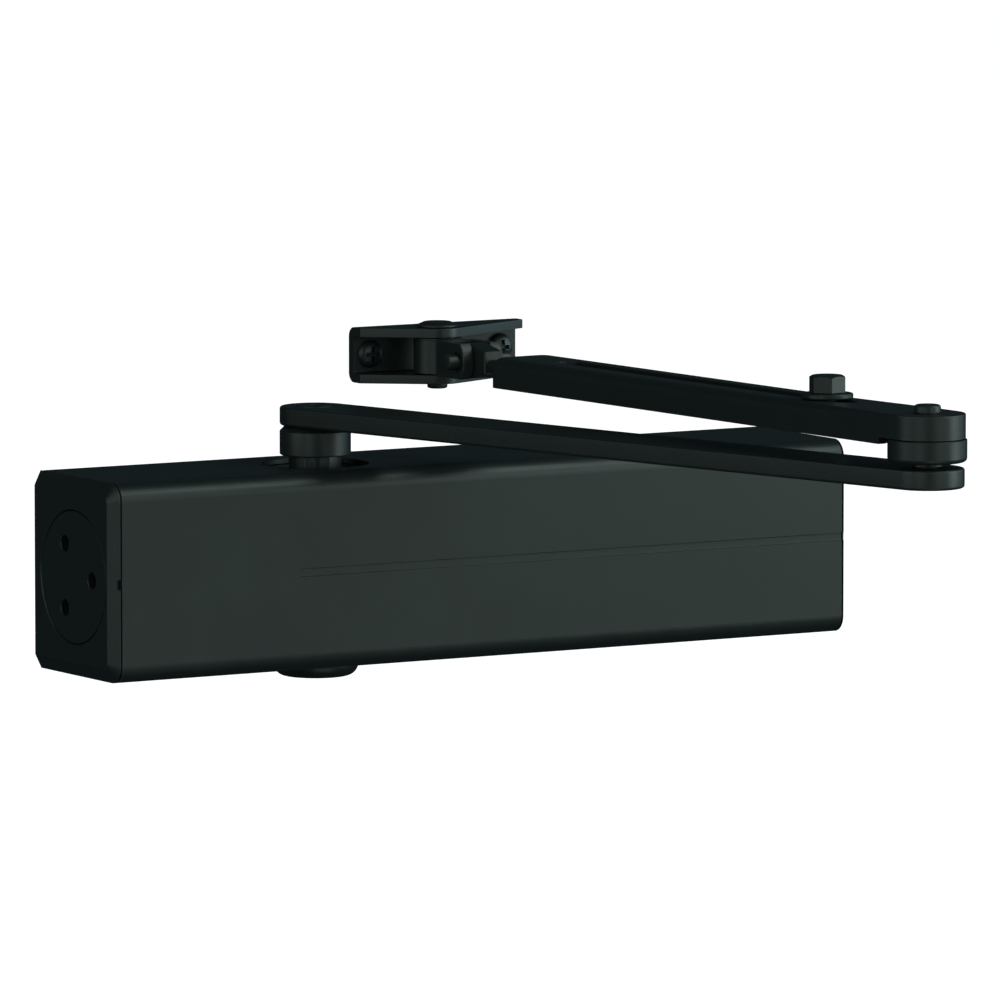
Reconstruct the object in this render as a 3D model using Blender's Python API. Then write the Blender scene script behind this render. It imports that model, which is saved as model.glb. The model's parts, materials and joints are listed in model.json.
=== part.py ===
"""Overhead door closer: rack-and-pinion body, main arm, slotted forearm and frame bracket.

Frame: the origin is the centre of the face that lies on the door. +X runs along the body to
the right as seen from the front, +Y points into the door, +Z is up. All sizes are in metres.
"""
from math import acos, asin, atan2, cos, hypot, pi, radians, sin, sqrt, tan

import bmesh
import bpy
from mathutils import Matrix, Vector

MM = 0.001
CLEAR = 0.3 * MM                     # gap between pieces that touch

# ---- body -----------------------------------------------------------------------------
BODY_LENGTH = 260.0 * MM
BODY_HEIGHT = 60.0 * MM
BODY_DEPTH = 49.4 * MM
AXIS_DEPTH = 24.2 * MM               # door face to the piston axis
SPINDLE_FROM_LEFT = 83.7 * MM        # left end to the spindle axis
COVER_WALL = 1.5 * MM
CORNER_RADIUS = 5.3 * MM             # front corners of the cover
END_CHAMFER_X = 2.1 * MM
END_CHAMFER_SIDE = 4.35 * MM
END_RIM = 0.16 * MM                  # straight rim between the chamfer and the cover
COVER_OPENING_RADIUS = 16.3 * MM
COVER_BACK_GAP = 0.5 * MM
COVER_JOINT = 0.5 * MM               # gap between the cover and each end rim
STRIPE_HEIGHT = 2.5 * MM
STRIPE_DEPTH = 0.5 * MM
STRIPE_FROM_LEFT = 62.6 * MM
PRY_SLOT_HEIGHT = 3.0 * MM
PRY_SLOT_LENGTH = 0.75 * MM

# ---- cylinder, plugs, piston and spring ----------------------------------------------------
BORE_RADIUS = 17.0 * MM
PLUG_RADIUS = 20.0 * MM
PLUG_LENGTH = 15.0 * MM
PLUG_FACE_INSET = 0.1 * MM
SPANNER_HOLE_RADIUS = 2.5 * MM
SPANNER_CIRCLE_RADIUS = 11.2 * MM
SPANNER_HOLE_DEPTH = 5.0 * MM
PISTON_LAND = 14.0 * MM              # solid length at each end of the piston
OPENING_TRAVEL = radians(150.0)      # how far the arm turns as the door opens
PRELOAD_TRAVEL = radians(15.0)       # how far it can turn the other way
SPRING_WIRE = 4.8 * MM
SPRING_SIDE_GAP = 1.5 * MM             # spring coil to the cylinder wall
SPRING_MEAN_RADIUS = BORE_RADIUS - SPRING_SIDE_GAP - SPRING_WIRE / 2
SPRING_TURNS = 11
SEAT_THICKNESS = 4.0 * MM
SEAT_SPIGOT_GAP = 1.1 * MM
SEAT_SPIGOT_RADIUS = SPRING_MEAN_RADIUS - SPRING_WIRE / 2 - SEAT_SPIGOT_GAP
SEAT_SPIGOT_LENGTH = 9.0 * MM
POWER_SCREW_RADIUS = 4.0 * MM
PLUG_SEAL_CORD = 2.2 * MM
PISTON_SEAL_CORD = 1.8 * MM
CHECK_HOLE_RADIUS = 5.3 * MM
CHECK_HOLE_DEPTH = 9.5 * MM
CHECK_BALL_RADIUS = 2.9 * MM
CHECK_SEAT_LENGTH = 2.8 * MM
CHECK_PORT_RADIUS = 2.0 * MM

# ---- pinion and spindle --------------------------------------------------------------------
TOOTH_MODULE = 1.5 * MM
PINION_TEETH = 10
PRESSURE_ANGLE = radians(20.0)
BACKLASH = 0.30 * MM
RACK_ADDENDUM = 0.75 * MM
PINION_ADDENDUM = 1.2 * MM
PINION_DEDENDUM = 1.6 * MM
PINION_FACE = 17.0 * MM
JOURNAL_RADIUS = 8.0 * MM
JOURNAL_OVERLAP = 0.5 * MM           # how far each journal runs into the pinion
SQUARE_SIDE = 10.0 * MM              # square drive at the top of the spindle
BEARING_RADIUS = 12.5 * MM
BEARING_LENGTH = 4.0 * MM
SEAL_LENGTH = 2.4 * MM
CAP_RADIUS = 13.0 * MM
CAP_DROP = 4.7 * MM                  # how far the cap stands below the body
CAP_WALL = 1.8 * MM
CAP_ROUND = 3.6 * MM

# ---- fasteners of the body -----------------------------------------------------------------
MOUNT_SCREW_RADIUS = 2.4 * MM
MOUNT_HEAD_RADIUS = 3.9 * MM
MOUNT_HEAD_HEIGHT = 3.6 * MM
MOUNT_SCREW_FROM_END = 25.0 * MM
MOUNT_SCREW_Z = 23.5 * MM
VALVE_RADIUS = 2.3 * MM
VALVE_FAR = 47.7 * MM                # spindle to the outer valves
VALVE_NEAR = 31.7 * MM               # spindle to the latching valve
VALVE_LENGTH = 14.0 * MM
VALVE_Z = 21.2 * MM

# ---- main arm ------------------------------------------------------------------------------
ARM_LENGTH = 252.5 * MM
ARM_WIDTH = 21.6 * MM
ARM_THICKNESS = 5.8 * MM
ARM_ANGLE = radians(-75.9)           # direction of the main arm with the door shut
COLLAR_RADIUS = 10.85 * MM
COLLAR_LIFT = 2.6 * MM               # body top to collar
COLLAR_HEIGHT = 8.7 * MM
COLLAR_TOP_CHAMFER = 1.4 * MM
COLLAR_LOW_CHAMFER = 0.6 * MM
ARM_TOP_EDGE = 0.7 * MM
ARM_LOW_EDGE = 0.9 * MM
ARM_SCREW_RADIUS = 5.6 * MM
ARM_SCREW_HEAD = 2.0 * MM
ARM_SCREW_SOCKET = 4.6 * MM
ARM_SCREW_THREAD = 2.3 * MM
CLIP_RECESS_RADIUS = 5.2 * MM        # recess for the clip under the arm's end
CLIP_RECESS_DEPTH = 1.8 * MM

# ---- elbow and forearm ---------------------------------------------------------------------
FOREARM_ANGLE = radians(92.95)       # direction of the forearm with the door shut
ELBOW_GAP = 1.65 * MM                 # main arm top to elbow hub
ELBOW_HUB_RADIUS = 11.5 * MM
ELBOW_HUB_HEIGHT = 6.65 * MM
ELBOW_HUB_FILLET = 1.4 * MM
ELBOW_WASHER_WIDTH = 1.2 * MM
ELBOW_PIN_RADIUS = 3.0 * MM
ELBOW_HEAD_RADIUS = 3.9 * MM
ELBOW_HEAD_HEIGHT = 2.2 * MM
ELBOW_HEAD_EDGE = 0.8 * MM
ELBOW_TAIL = 0.6 * MM                # how far the pin stands out under the arm
CLIP_THICKNESS = 0.6 * MM
CLIP_HEIGHT = 0.9 * MM               # underside of the arm up to the middle of the clip
CLIP_WIDTH = 1.6 * MM                # how far the clip stands out of the pin
CLIP_GROOVE = 0.7 * MM
FOREARM_LENGTH = 211.2 * MM          # elbow axis to the open end
FOREARM_WIDTH = 22.1 * MM
FOREARM_WALL = 2.0 * MM
FOREARM_END_HEIGHT = 7.1 * MM        # thickness of the round end over the elbow hub
FOREARM_SKIRT = 9.1 * MM             # height of the channel
FOREARM_BEND = 3.2 * MM
FOREARM_CORNER = 5.0 * MM            # corners of the open end
FOREARM_NOTCH = 8.7 * MM             # elbow axis to the end of the side walls
HUB_SIDE_GAP = 0.7 * MM
HUB_TO_POCKET = 3.0 * MM
SLOT_START = 36.5 * MM
SLOT_END = 186.5 * MM
SLOT_WIDTH = 6.8 * MM
BOLT_RADIUS = 3.0 * MM
BOLT_FROM_ELBOW = 49.4 * MM
BOLT_HEAD_FLATS = 9.6 * MM
BOLT_HEAD_HEIGHT = 4.9 * MM
BOLT_HEAD_TURN = radians(-21.7)
WASHER_RADIUS = 7.6 * MM
WASHER_THICKNESS = 1.5 * MM
SLIDER_WIDTH = 12.0 * MM
SLIDER_THICKNESS = 3.6 * MM
SLIDER_TAIL = 9.0 * MM               # slider length past the bolt
NUT_THICKNESS = 4.0 * MM
NUT_SIDE = 10.0 * MM

# ---- fork and frame bracket ----------------------------------------------------------------
BRACKET_LENGTH = 57.8 * MM
BRACKET_HEIGHT = 17.0 * MM
BRACKET_THICKNESS = 2.7 * MM
BRACKET_END_DEPTH = 7.0 * MM
BRACKET_NOSE_RADIUS = 7.6 * MM
BRACKET_BEND = 3.0 * MM
BRACKET_BOTTOM = 51.4 * MM           # height of the bracket's underside over the body's middle
PIVOT_DEPTH = 15.0 * MM              # bracket back to the pivot pin
PIVOT_FROM_LEFT = 22.6 * MM
PIVOT_PIN_RADIUS = 3.4 * MM
PIVOT_HEAD_RADIUS = 6.3 * MM
PIVOT_HEAD_HEIGHT = 1.4 * MM
PIVOT_TAIL_RADIUS = 3.1 * MM
PIVOT_TAIL_LENGTH = 1.5 * MM
BARREL_RADIUS = 7.3 * MM
PIVOT_WASHER = 0.7 * MM
EAR_START = 10.1 * MM                # pivot pin to the flat of the fork
EAR_ROOT = 2.2 * MM                  # plate that joins the two ears
EAR_END = 25.4 * MM
EAR_TIP_RADIUS = 8.2 * MM            # shallow round at the ends of the ears
EAR_THICKNESS = 2.1 * MM
EAR_GAP = 7.2 * MM
EAR_SIDE_GAP = 0.4 * MM              # ear to flange, above and below
CROSS_FROM_PIVOT = 21.5 * MM
CROSS_PIN_RADIUS = 2.5 * MM
CROSS_PIN_STAND = 5.6 * MM           # how far the cross pin stands out of each ear
TONGUE_RADIUS = 5.4 * MM
TONGUE_LENGTH = 9.5 * MM             # cross pin to the end of the tongue's block
TONGUE_END_HALF = 3.4 * MM
TONGUE_SIDE_GAP = 0.35 * MM
NECK_DROP = 0.05 * MM                # top of the slider's bar to the top of its neck
NECK_RADIUS = 2.1 * MM               # round neck between the tongue and the slider's bar
SLIDER_INSIDE = 4.0 * MM             # open end of the forearm to the bar
SCREW_FROM_END = 5.7 * MM
BRACKET_SCREW_RADIUS = 2.3 * MM
BRACKET_SCREW_HEAD = 4.2 * MM

# ---- places worked out from the sizes ------------------------------------------------------
AXIS_Y = -AXIS_DEPTH
HALF_LENGTH = BODY_LENGTH / 2
HALF_HEIGHT = BODY_HEIGHT / 2
MOUNT_SCREW_X = HALF_LENGTH - MOUNT_SCREW_FROM_END
SPINDLE_X = SPINDLE_FROM_LEFT - HALF_LENGTH
INNER_HALF_HEIGHT = HALF_HEIGHT - COVER_WALL - CLEAR
INNER_DEPTH = BODY_DEPTH - COVER_WALL - CLEAR
RIM_END = HALF_LENGTH - END_CHAMFER_X - END_RIM

PITCH_RADIUS = TOOTH_MODULE * PINION_TEETH / 2
PINION_OUTER = PITCH_RADIUS + PINION_ADDENDUM
PINION_ROOT = PITCH_RADIUS - PINION_DEDENDUM
TOOTH_PITCH = pi * TOOTH_MODULE
RACK_HALF_FACE = PINION_FACE / 2 - JOURNAL_OVERLAP - CLEAR
RACK_ROOT = max(PINION_OUTER, JOURNAL_RADIUS) + 2 * CLEAR
PISTON_RADIUS = BORE_RADIUS - CLEAR
TRAVEL_OUT = PITCH_RADIUS * OPENING_TRAVEL
TRAVEL_BACK = PITCH_RADIUS * PRELOAD_TRAVEL
WINDOW_MARGIN = RACK_ROOT + 1.5 * MM
WINDOW_LEFT = SPINDLE_X - TRAVEL_OUT - WINDOW_MARGIN
WINDOW_RIGHT = SPINDLE_X + TRAVEL_BACK + WINDOW_MARGIN
PISTON_LEFT = WINDOW_LEFT - PISTON_LAND
PISTON_RIGHT = WINDOW_RIGHT + PISTON_LAND
PLUG_INNER = HALF_LENGTH - PLUG_FACE_INSET - PLUG_LENGTH
SEAT_FACE = PLUG_INNER - CLEAR - SEAT_THICKNESS
SPRING_START = PISTON_RIGHT + CLEAR
SPRING_END = SEAT_FACE - CLEAR

BEARING_START = BORE_RADIUS + CLEAR
SEAL_START = BEARING_START + BEARING_LENGTH + CLEAR
GLAND_START = SEAL_START + SEAL_LENGTH + CLEAR
GLAND_END = INNER_HALF_HEIGHT - CLEAR
CAP_BOTTOM = -HALF_HEIGHT - CAP_DROP
SPINDLE_BOTTOM = CAP_BOTTOM + CAP_WALL + 1.5 * MM

COLLAR_BOTTOM = HALF_HEIGHT + COLLAR_LIFT
COLLAR_TOP = COLLAR_BOTTOM + COLLAR_HEIGHT
ARM_BOTTOM = COLLAR_TOP + CLEAR
ARM_TOP = ARM_BOTTOM + ARM_THICKNESS
HUB_BOTTOM = ARM_TOP + ELBOW_GAP
HUB_TOP = HUB_BOTTOM + ELBOW_HUB_HEIGHT
FOREARM_END_BOTTOM = HUB_TOP + CLEAR
FOREARM_TOP = FOREARM_END_BOTTOM + FOREARM_END_HEIGHT
FOREARM_BOTTOM = FOREARM_TOP - FOREARM_SKIRT
SLIDER_TOP = FOREARM_TOP - FOREARM_WALL - CLEAR
SLIDER_BOTTOM = SLIDER_TOP - SLIDER_THICKNESS

BRACKET_TOP = BRACKET_BOTTOM + BRACKET_HEIGHT
BRACKET_MIDDLE = (BRACKET_BOTTOM + BRACKET_TOP) / 2
CHANNEL_LOW = BRACKET_BOTTOM + BRACKET_THICKNESS
CHANNEL_HIGH = BRACKET_TOP - BRACKET_THICKNESS
BARREL_LOW = CHANNEL_LOW + PIVOT_WASHER + 2 * CLEAR
BARREL_HIGH = CHANNEL_HIGH - PIVOT_WASHER - 2 * CLEAR
CROSS_Z = BRACKET_MIDDLE - 0.1 * MM
EAR_HEIGHT = CHANNEL_HIGH - CHANNEL_LOW - 2 * EAR_SIDE_GAP
EAR_OUTSIDE = EAR_GAP / 2 + EAR_THICKNESS
ELBOW_X = SPINDLE_X + ARM_LENGTH * cos(ARM_ANGLE)
ELBOW_Y = AXIS_Y + ARM_LENGTH * sin(ARM_ANGLE)
REACH = (-PIVOT_DEPTH - ELBOW_Y) / sin(FOREARM_ANGLE)     # elbow to pivot pin
CROSS_X = REACH - CROSS_FROM_PIVOT

SIDES = 32                           # sides of a large round
SMALL_SIDES = 20


# ---- helpers -------------------------------------------------------------------------------
def clear_scene():
    for item in list(bpy.data.objects):
        bpy.data.objects.remove(item, do_unlink=True)


def make_material(name, colour, roughness, metallic):
    material = bpy.data.materials.new(name)
    material.use_nodes = True
    shader = material.node_tree.nodes["Principled BSDF"]
    shader.inputs["Base Color"].default_value = (*colour, 1.0)
    shader.inputs["Roughness"].default_value = roughness
    shader.inputs["Metallic"].default_value = metallic
    material.diffuse_color = (*colour, 1.0)
    return material


def make_empty(name, location, turn=0.0, parent=None):
    empty = bpy.data.objects.new(name, None)
    empty.location = location
    empty.rotation_euler = (0.0, 0.0, turn)
    empty.parent = parent
    bpy.context.collection.objects.link(empty)
    return empty


def make_object(name, shape, material=None, parent=None, smooth=True):
    """Turn a bmesh into a named object with its own mesh."""
    bmesh.ops.recalc_face_normals(shape, faces=shape.faces)
    mesh = bpy.data.meshes.new(name)
    shape.to_mesh(mesh)
    shape.free()
    if smooth:
        mesh.shade_smooth()
        mesh.set_sharp_from_angle(angle=radians(35.0))
    item = bpy.data.objects.new(name, mesh)
    if material is not None:
        mesh.materials.append(material)
    item.parent = parent
    bpy.context.collection.objects.link(item)
    return item


def cut(target, cutter, operation="DIFFERENCE"):
    """Boolean with a helper object that is left out of the model."""
    cutter.hide_render = True
    cutter.display_type = "WIRE"
    step = target.modifiers.new(cutter.name, "BOOLEAN")
    step.operation = operation
    step.object = cutter
    step.solver = "EXACT"


def turn_to(axis):
    """Rotation that takes the Z axis to the named axis."""
    if axis == "X":
        return Matrix.Rotation(pi / 2, 4, "Y")
    if axis == "Y":
        return Matrix.Rotation(-pi / 2, 4, "X")
    return Matrix.Identity(4)


def turned(profile, steps=SIDES, axis="Z", centre=(0.0, 0.0, 0.0), closed=False):
    """Spin a profile of (radius, height) points about an axis through centre."""
    shape = bmesh.new()
    points = [shape.verts.new((radius, 0.0, height)) for radius, height in profile]
    edges = [shape.edges.new(pair) for pair in zip(points, points[1:])]
    if closed:
        edges.append(shape.edges.new((points[-1], points[0])))
    bmesh.ops.spin(shape, geom=points + edges, cent=(0, 0, 0), axis=(0, 0, 1),
                   angle=2 * pi, steps=steps, use_merge=True)
    bmesh.ops.remove_doubles(shape, verts=shape.verts, dist=1e-6)
    bmesh.ops.transform(shape, verts=shape.verts, matrix=Matrix.Translation(centre) @ turn_to(axis))
    return shape


def rod(radius, low, high, steps=SIDES, axis="Z", centre=(0.0, 0.0, 0.0), chamfer=0.0):
    """Solid cylinder between two heights, with both end edges chamfered."""
    if chamfer:
        profile = [(0.0, low), (radius - chamfer, low), (radius, low + chamfer),
                   (radius, high - chamfer), (radius - chamfer, high), (0.0, high)]
    else:
        profile = [(0.0, low), (radius, low), (radius, high), (0.0, high)]
    return turned(profile, steps, axis, centre)


def ring(inner, outer, low, high, steps=SIDES, axis="Z", centre=(0.0, 0.0, 0.0), chamfer=0.0):
    """Washer or bush with both outer edges chamfered."""
    profile = [(inner, low), (outer - chamfer, low), (outer, low + chamfer),
               (outer, high - chamfer), (outer - chamfer, high), (inner, high)]
    if not chamfer:
        profile = [(inner, low), (outer, low), (outer, high), (inner, high)]
    return turned(profile, steps, axis, centre, closed=True)


def seal_ring(radius, cord, steps, axis, centre, sides=5):
    """O-ring of the given mean radius and cord."""
    profile = []
    for index in range(sides):
        angle = 2 * pi * index / sides
        profile.append((radius + cord / 2 * cos(angle), cord / 2 * sin(angle)))
    return turned(profile, steps, axis, centre, closed=True)


def block(low, high):
    """Box between two corners."""
    shape = bmesh.new()
    size = [high[index] - low[index] for index in range(3)]
    middle = [(high[index] + low[index]) / 2 for index in range(3)]
    place = Matrix.Translation(middle) @ Matrix.Diagonal((*size, 1.0))
    bmesh.ops.create_cube(shape, size=1.0, matrix=place)
    return shape


def slab(outline, low, high):
    """Plate with a flat outline in X and Y between two heights."""
    shape = bmesh.new()
    base = [shape.verts.new((x, y, low)) for x, y in outline]
    face = shape.faces.new(base)
    result = bmesh.ops.extrude_face_region(shape, geom=[face])
    raised = [item for item in result["geom"] if isinstance(item, bmesh.types.BMVert)]
    bmesh.ops.translate(shape, verts=raised, vec=(0.0, 0.0, high - low))
    bmesh.ops.recalc_face_normals(shape, faces=shape.faces)
    return shape


def bevel_edges(shape, chosen, width, segments):
    edges = [edge for edge in shape.edges if chosen(edge)]
    bmesh.ops.bevel(shape, geom=edges, offset=width, offset_type="OFFSET",
                    segments=segments, profile=0.5, affect="EDGES", clamp_overlap=True)


def flat_edges_at(height):
    """Test for the horizontal edges that lie at a height."""
    def test(edge):
        return all(abs(vert.co.z - height) < 1e-6 for vert in edge.verts)
    return test


def arc(centre, radius, start, end, steps):
    """Points on an arc, both ends included."""
    points = []
    for index in range(steps + 1):
        angle = start + (end - start) * index / steps
        points.append((centre[0] + radius * cos(angle), centre[1] + radius * sin(angle)))
    return points


def hexagon(flats, turn=0.0):
    radius = flats / 2 / cos(pi / 6)
    return arc((0.0, 0.0), radius, turn, turn + 2 * pi * 5 / 6, 5)


def shifted(outline, dx, dy):
    return [(x + dx, y + dy) for x, y in outline]


def cross_recess(name, centre, width, arm, depth, axis, parent=None):
    """Cutter for a cross recess that enters along -axis from centre."""
    half = width / 2
    bar = arm / 2
    outline = [(half, bar), (bar, bar), (bar, half), (-bar, half), (-bar, bar), (-half, bar),
               (-half, -bar), (-bar, -bar), (-bar, -half), (bar, -half), (bar, -bar), (half, -bar)]
    shape = slab(outline, -depth, depth)
    bmesh.ops.transform(shape, verts=shape.verts, matrix=Matrix.Translation(centre) @ turn_to(axis))
    return make_object(name, shape, parent=parent)


# ---- materials -----------------------------------------------------------------------------
def make_materials():
    return {
        "paint": make_material("dark_enamel", (0.020, 0.024, 0.025), 0.38, 0.0),
        "cover": make_material("cover_enamel", (0.018, 0.021, 0.022), 0.34, 0.0),
        "cast": make_material("cast_alloy", (0.024, 0.028, 0.029), 0.40, 0.0),
        "steel": make_material("bright_steel", (0.55, 0.56, 0.57), 0.28, 1.0),
        "black_steel": make_material("black_steel", (0.035, 0.038, 0.040), 0.42, 0.6),
        "spring": make_material("spring_steel", (0.22, 0.23, 0.24), 0.35, 1.0),
        "rubber": make_material("seal_rubber", (0.012, 0.012, 0.013), 0.75, 0.0),
        "bronze": make_material("bearing_bronze", (0.45, 0.28, 0.12), 0.40, 1.0),
    }


# ---- body shell ----------------------------------------------------------------------------
def body_outline(height_half, depth, radius, back=0.0, steps=6):
    """Section of the body in (Y, Z): square back corners and rounded front corners."""
    lower = arc((-depth + radius, -height_half + radius), radius, -pi / 2, -pi, steps)
    upper = arc((-depth + radius, height_half - radius), radius, pi, pi / 2, steps)
    return [(back, -height_half)] + lower + upper + [(back, height_half)]


def lofted(stations):
    """Solid through sections in (Y, Z) that all have the same number of points."""
    shape = bmesh.new()
    loops = [[shape.verts.new((x, y, z)) for y, z in section] for x, section in stations]
    count = len(loops[0])
    for first, second in zip(loops, loops[1:]):
        for index in range(count):
            after = (index + 1) % count
            shape.faces.new((first[index], first[after], second[after], second[index]))
    shape.faces.new(loops[0])
    shape.faces.new(loops[-1])
    return shape


def make_housing(paint):
    full = body_outline(HALF_HEIGHT, BODY_DEPTH, CORNER_RADIUS)
    end = body_outline(HALF_HEIGHT - END_CHAMFER_SIDE, BODY_DEPTH - END_CHAMFER_SIDE, 1.6 * MM)
    core = body_outline(INNER_HALF_HEIGHT, INNER_DEPTH, CORNER_RADIUS - COVER_WALL)
    chamfer_end = HALF_LENGTH - END_CHAMFER_X
    housing = make_object("housing", lofted([(-chamfer_end, core), (chamfer_end, core)]), paint)
    for name, side in (("left", -1), ("right", 1)):
        flange = lofted([(side * HALF_LENGTH, end), (side * chamfer_end, full), (side * RIM_END, full)])
        cut(housing, make_object(f"{name}_end_flange", flange), "UNION")

    axis_point = (0.0, AXIS_Y, 0.0)
    plug_hole = HALF_LENGTH - PLUG_FACE_INSET - PLUG_LENGTH - CLEAR
    beyond = HALF_LENGTH + 5 * MM
    profile = [(0.0, -beyond), (PLUG_RADIUS + CLEAR, -beyond), (PLUG_RADIUS + CLEAR, -plug_hole),
               (BORE_RADIUS, -plug_hole), (BORE_RADIUS, plug_hole),
               (PLUG_RADIUS + CLEAR, plug_hole), (PLUG_RADIUS + CLEAR, beyond), (0.0, beyond)]
    cut(housing, make_object("cylinder_bore", turned(profile, 40, "X", axis_point)))
    spindle_bore = rod(BEARING_RADIUS + CLEAR, -HALF_HEIGHT, HALF_HEIGHT, SIDES,
                       centre=(SPINDLE_X, AXIS_Y, 0.0))
    cut(housing, make_object("spindle_bore", spindle_bore))
    pry = block((-RIM_END - PRY_SLOT_LENGTH, -BODY_DEPTH - MM, -PRY_SLOT_HEIGHT / 2),
                (-RIM_END + MM, -BODY_DEPTH + COVER_WALL, PRY_SLOT_HEIGHT / 2))
    cut(housing, make_object("pry_slot", pry))
    for name, x, z in mount_screw_places():
        hole = mount_screw_profile(CLEAR)
        shape = turned(hole, 16, "Y", (x, 0.0, z))
        cut(housing, make_object("hole_" + name, shape))
    for name, x, z in valve_places():
        shape = rod(VALVE_RADIUS + CLEAR, -BODY_DEPTH, -INNER_DEPTH + VALVE_LENGTH + 2 * CLEAR,
                    16, "Y", (x, 0.0, z))
        cut(housing, make_object("hole_" + name, shape))
    return housing


def make_cover(paint):
    outer = body_outline(HALF_HEIGHT, BODY_DEPTH, CORNER_RADIUS, -COVER_BACK_GAP)
    inner = body_outline(HALF_HEIGHT - COVER_WALL, BODY_DEPTH - COVER_WALL,
                         CORNER_RADIUS - COVER_WALL, -COVER_BACK_GAP)
    section = outer + inner[::-1]
    half = RIM_END - COVER_JOINT
    shape = slab(section, -half, half)
    bmesh.ops.transform(shape, verts=shape.verts, matrix=Matrix.Rotation(pi / 2, 4, "Z")
                        @ Matrix.Rotation(pi / 2, 4, "X"))
    cover = make_object("cover", shape, paint)
    opening = rod(COVER_OPENING_RADIUS, -HALF_HEIGHT - MM, HALF_HEIGHT + MM, SIDES,
                  centre=(SPINDLE_X, AXIS_Y, 0.0))
    cut(cover, make_object("cover_opening", opening))
    stripe_left = STRIPE_FROM_LEFT - HALF_LENGTH
    half_stripe = STRIPE_HEIGHT / 2
    outline = arc((stripe_left + half_stripe, 0.0), half_stripe, pi / 2, 3 * pi / 2, 6)
    outline += [(half + MM, -half_stripe), (half + MM, half_stripe)]
    stripe = slab(outline, -MM, STRIPE_DEPTH)
    bmesh.ops.transform(stripe, verts=stripe.verts,
                        matrix=Matrix.Translation((0, -BODY_DEPTH, 0)) @ Matrix.Rotation(pi / 2, 4, "X")
                        @ Matrix.Scale(-1, 4, (0, 0, 1)))
    cut(cover, make_object("cover_stripe", stripe))
    return cover


def make_plug(name, side, material, bore):
    """End plug with three spanner holes; side is -1 for the left end and 1 for the right."""
    face = HALF_LENGTH - PLUG_FACE_INSET
    groove = PLUG_SEAL_CORD + 2 * CLEAR
    seal_at = PLUG_INNER + 4.5 * MM
    groove_radius = PLUG_RADIUS - PLUG_SEAL_CORD - CLEAR
    chamfer = 0.6 * MM
    outside = [(PLUG_RADIUS - chamfer, face), (PLUG_RADIUS, face - chamfer),
               (PLUG_RADIUS, seal_at + groove / 2), (groove_radius, seal_at + groove / 2),
               (groove_radius, seal_at - groove / 2), (PLUG_RADIUS, seal_at - groove / 2),
               (PLUG_RADIUS, PLUG_INNER)]
    if bore:
        profile = [(bore, face)] + outside + [(bore, PLUG_INNER)]
    else:
        profile = [(0.0, face)] + outside + [(0.0, PLUG_INNER)]
    shape = turned(profile, 40, "X", closed=bool(bore))
    if side < 0:
        bmesh.ops.scale(shape, verts=shape.verts, vec=(-1, 1, 1))
    bmesh.ops.translate(shape, verts=shape.verts, vec=(0.0, AXIS_Y, 0.0))
    plug = make_object(name, shape, material)
    for index in range(3):
        angle = pi + 2 * pi * index / 3
        centre = (0.0, AXIS_Y + SPANNER_CIRCLE_RADIUS * cos(angle), SPANNER_CIRCLE_RADIUS * sin(angle))
        low, high = sorted((side * (face - SPANNER_HOLE_DEPTH), side * (face + MM)))
        hole = rod(SPANNER_HOLE_RADIUS, low, high, 16, "X", centre)
        cut(plug, make_object(f"{name}_hole_{index + 1}", hole))
    return plug


def make_plug_seal(name, side, material):
    radius = PLUG_RADIUS - PLUG_SEAL_CORD / 2 - CLEAR / 2
    centre = (side * (PLUG_INNER + 4.5 * MM), AXIS_Y, 0.0)
    return make_object(name, seal_ring(radius, PLUG_SEAL_CORD, SIDES, "X", centre), material)


def mount_screw_places():
    places = []
    for name, side in (("left", -1), ("right", 1)):
        for level, lift in (("upper", 1), ("lower", -1)):
            places.append((f"mounting_screw_{level}_{name}", side * MOUNT_SCREW_X, lift * MOUNT_SCREW_Z))
    return places


def mount_screw_profile(grow):
    """Profile of a mounting screw along Y, head at the front; grow widens it into its hole."""
    head_front = -INNER_DEPTH + 0.6 * MM
    head_back = head_front + MOUNT_HEAD_HEIGHT
    if grow:
        return [(0.0, -BODY_DEPTH), (MOUNT_HEAD_RADIUS + grow, -BODY_DEPTH),
                (MOUNT_HEAD_RADIUS + grow, head_back + grow),
                (MOUNT_SCREW_RADIUS + grow, head_back + grow),
                (MOUNT_SCREW_RADIUS + grow, MM), (0.0, MM)]
    edge = 0.8 * MM
    return [(0.0, head_front), (MOUNT_HEAD_RADIUS - edge, head_front),
            (MOUNT_HEAD_RADIUS, head_front + edge), (MOUNT_HEAD_RADIUS, head_back),
            (MOUNT_SCREW_RADIUS, head_back), (MOUNT_SCREW_RADIUS, -CLEAR), (0.0, -CLEAR)]


def make_mount_screws(material):
    for name, x, z in mount_screw_places():
        shape = turned(mount_screw_profile(0.0), 12, "Y", (x, 0.0, z))
        screw = make_object(name, shape, material)
        front = (x, -INNER_DEPTH + 0.6 * MM, z)
        cut(screw, cross_recess(name + "_recess", front, 4.4 * MM, 1.1 * MM, 1.6 * MM, "Y"))


def valve_places():
    return [("closing_valve", SPINDLE_X - VALVE_FAR, VALVE_Z),
            ("latching_valve", SPINDLE_X - VALVE_NEAR, VALVE_Z),
            ("backcheck_valve", SPINDLE_X - VALVE_FAR, -VALVE_Z)]


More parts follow.
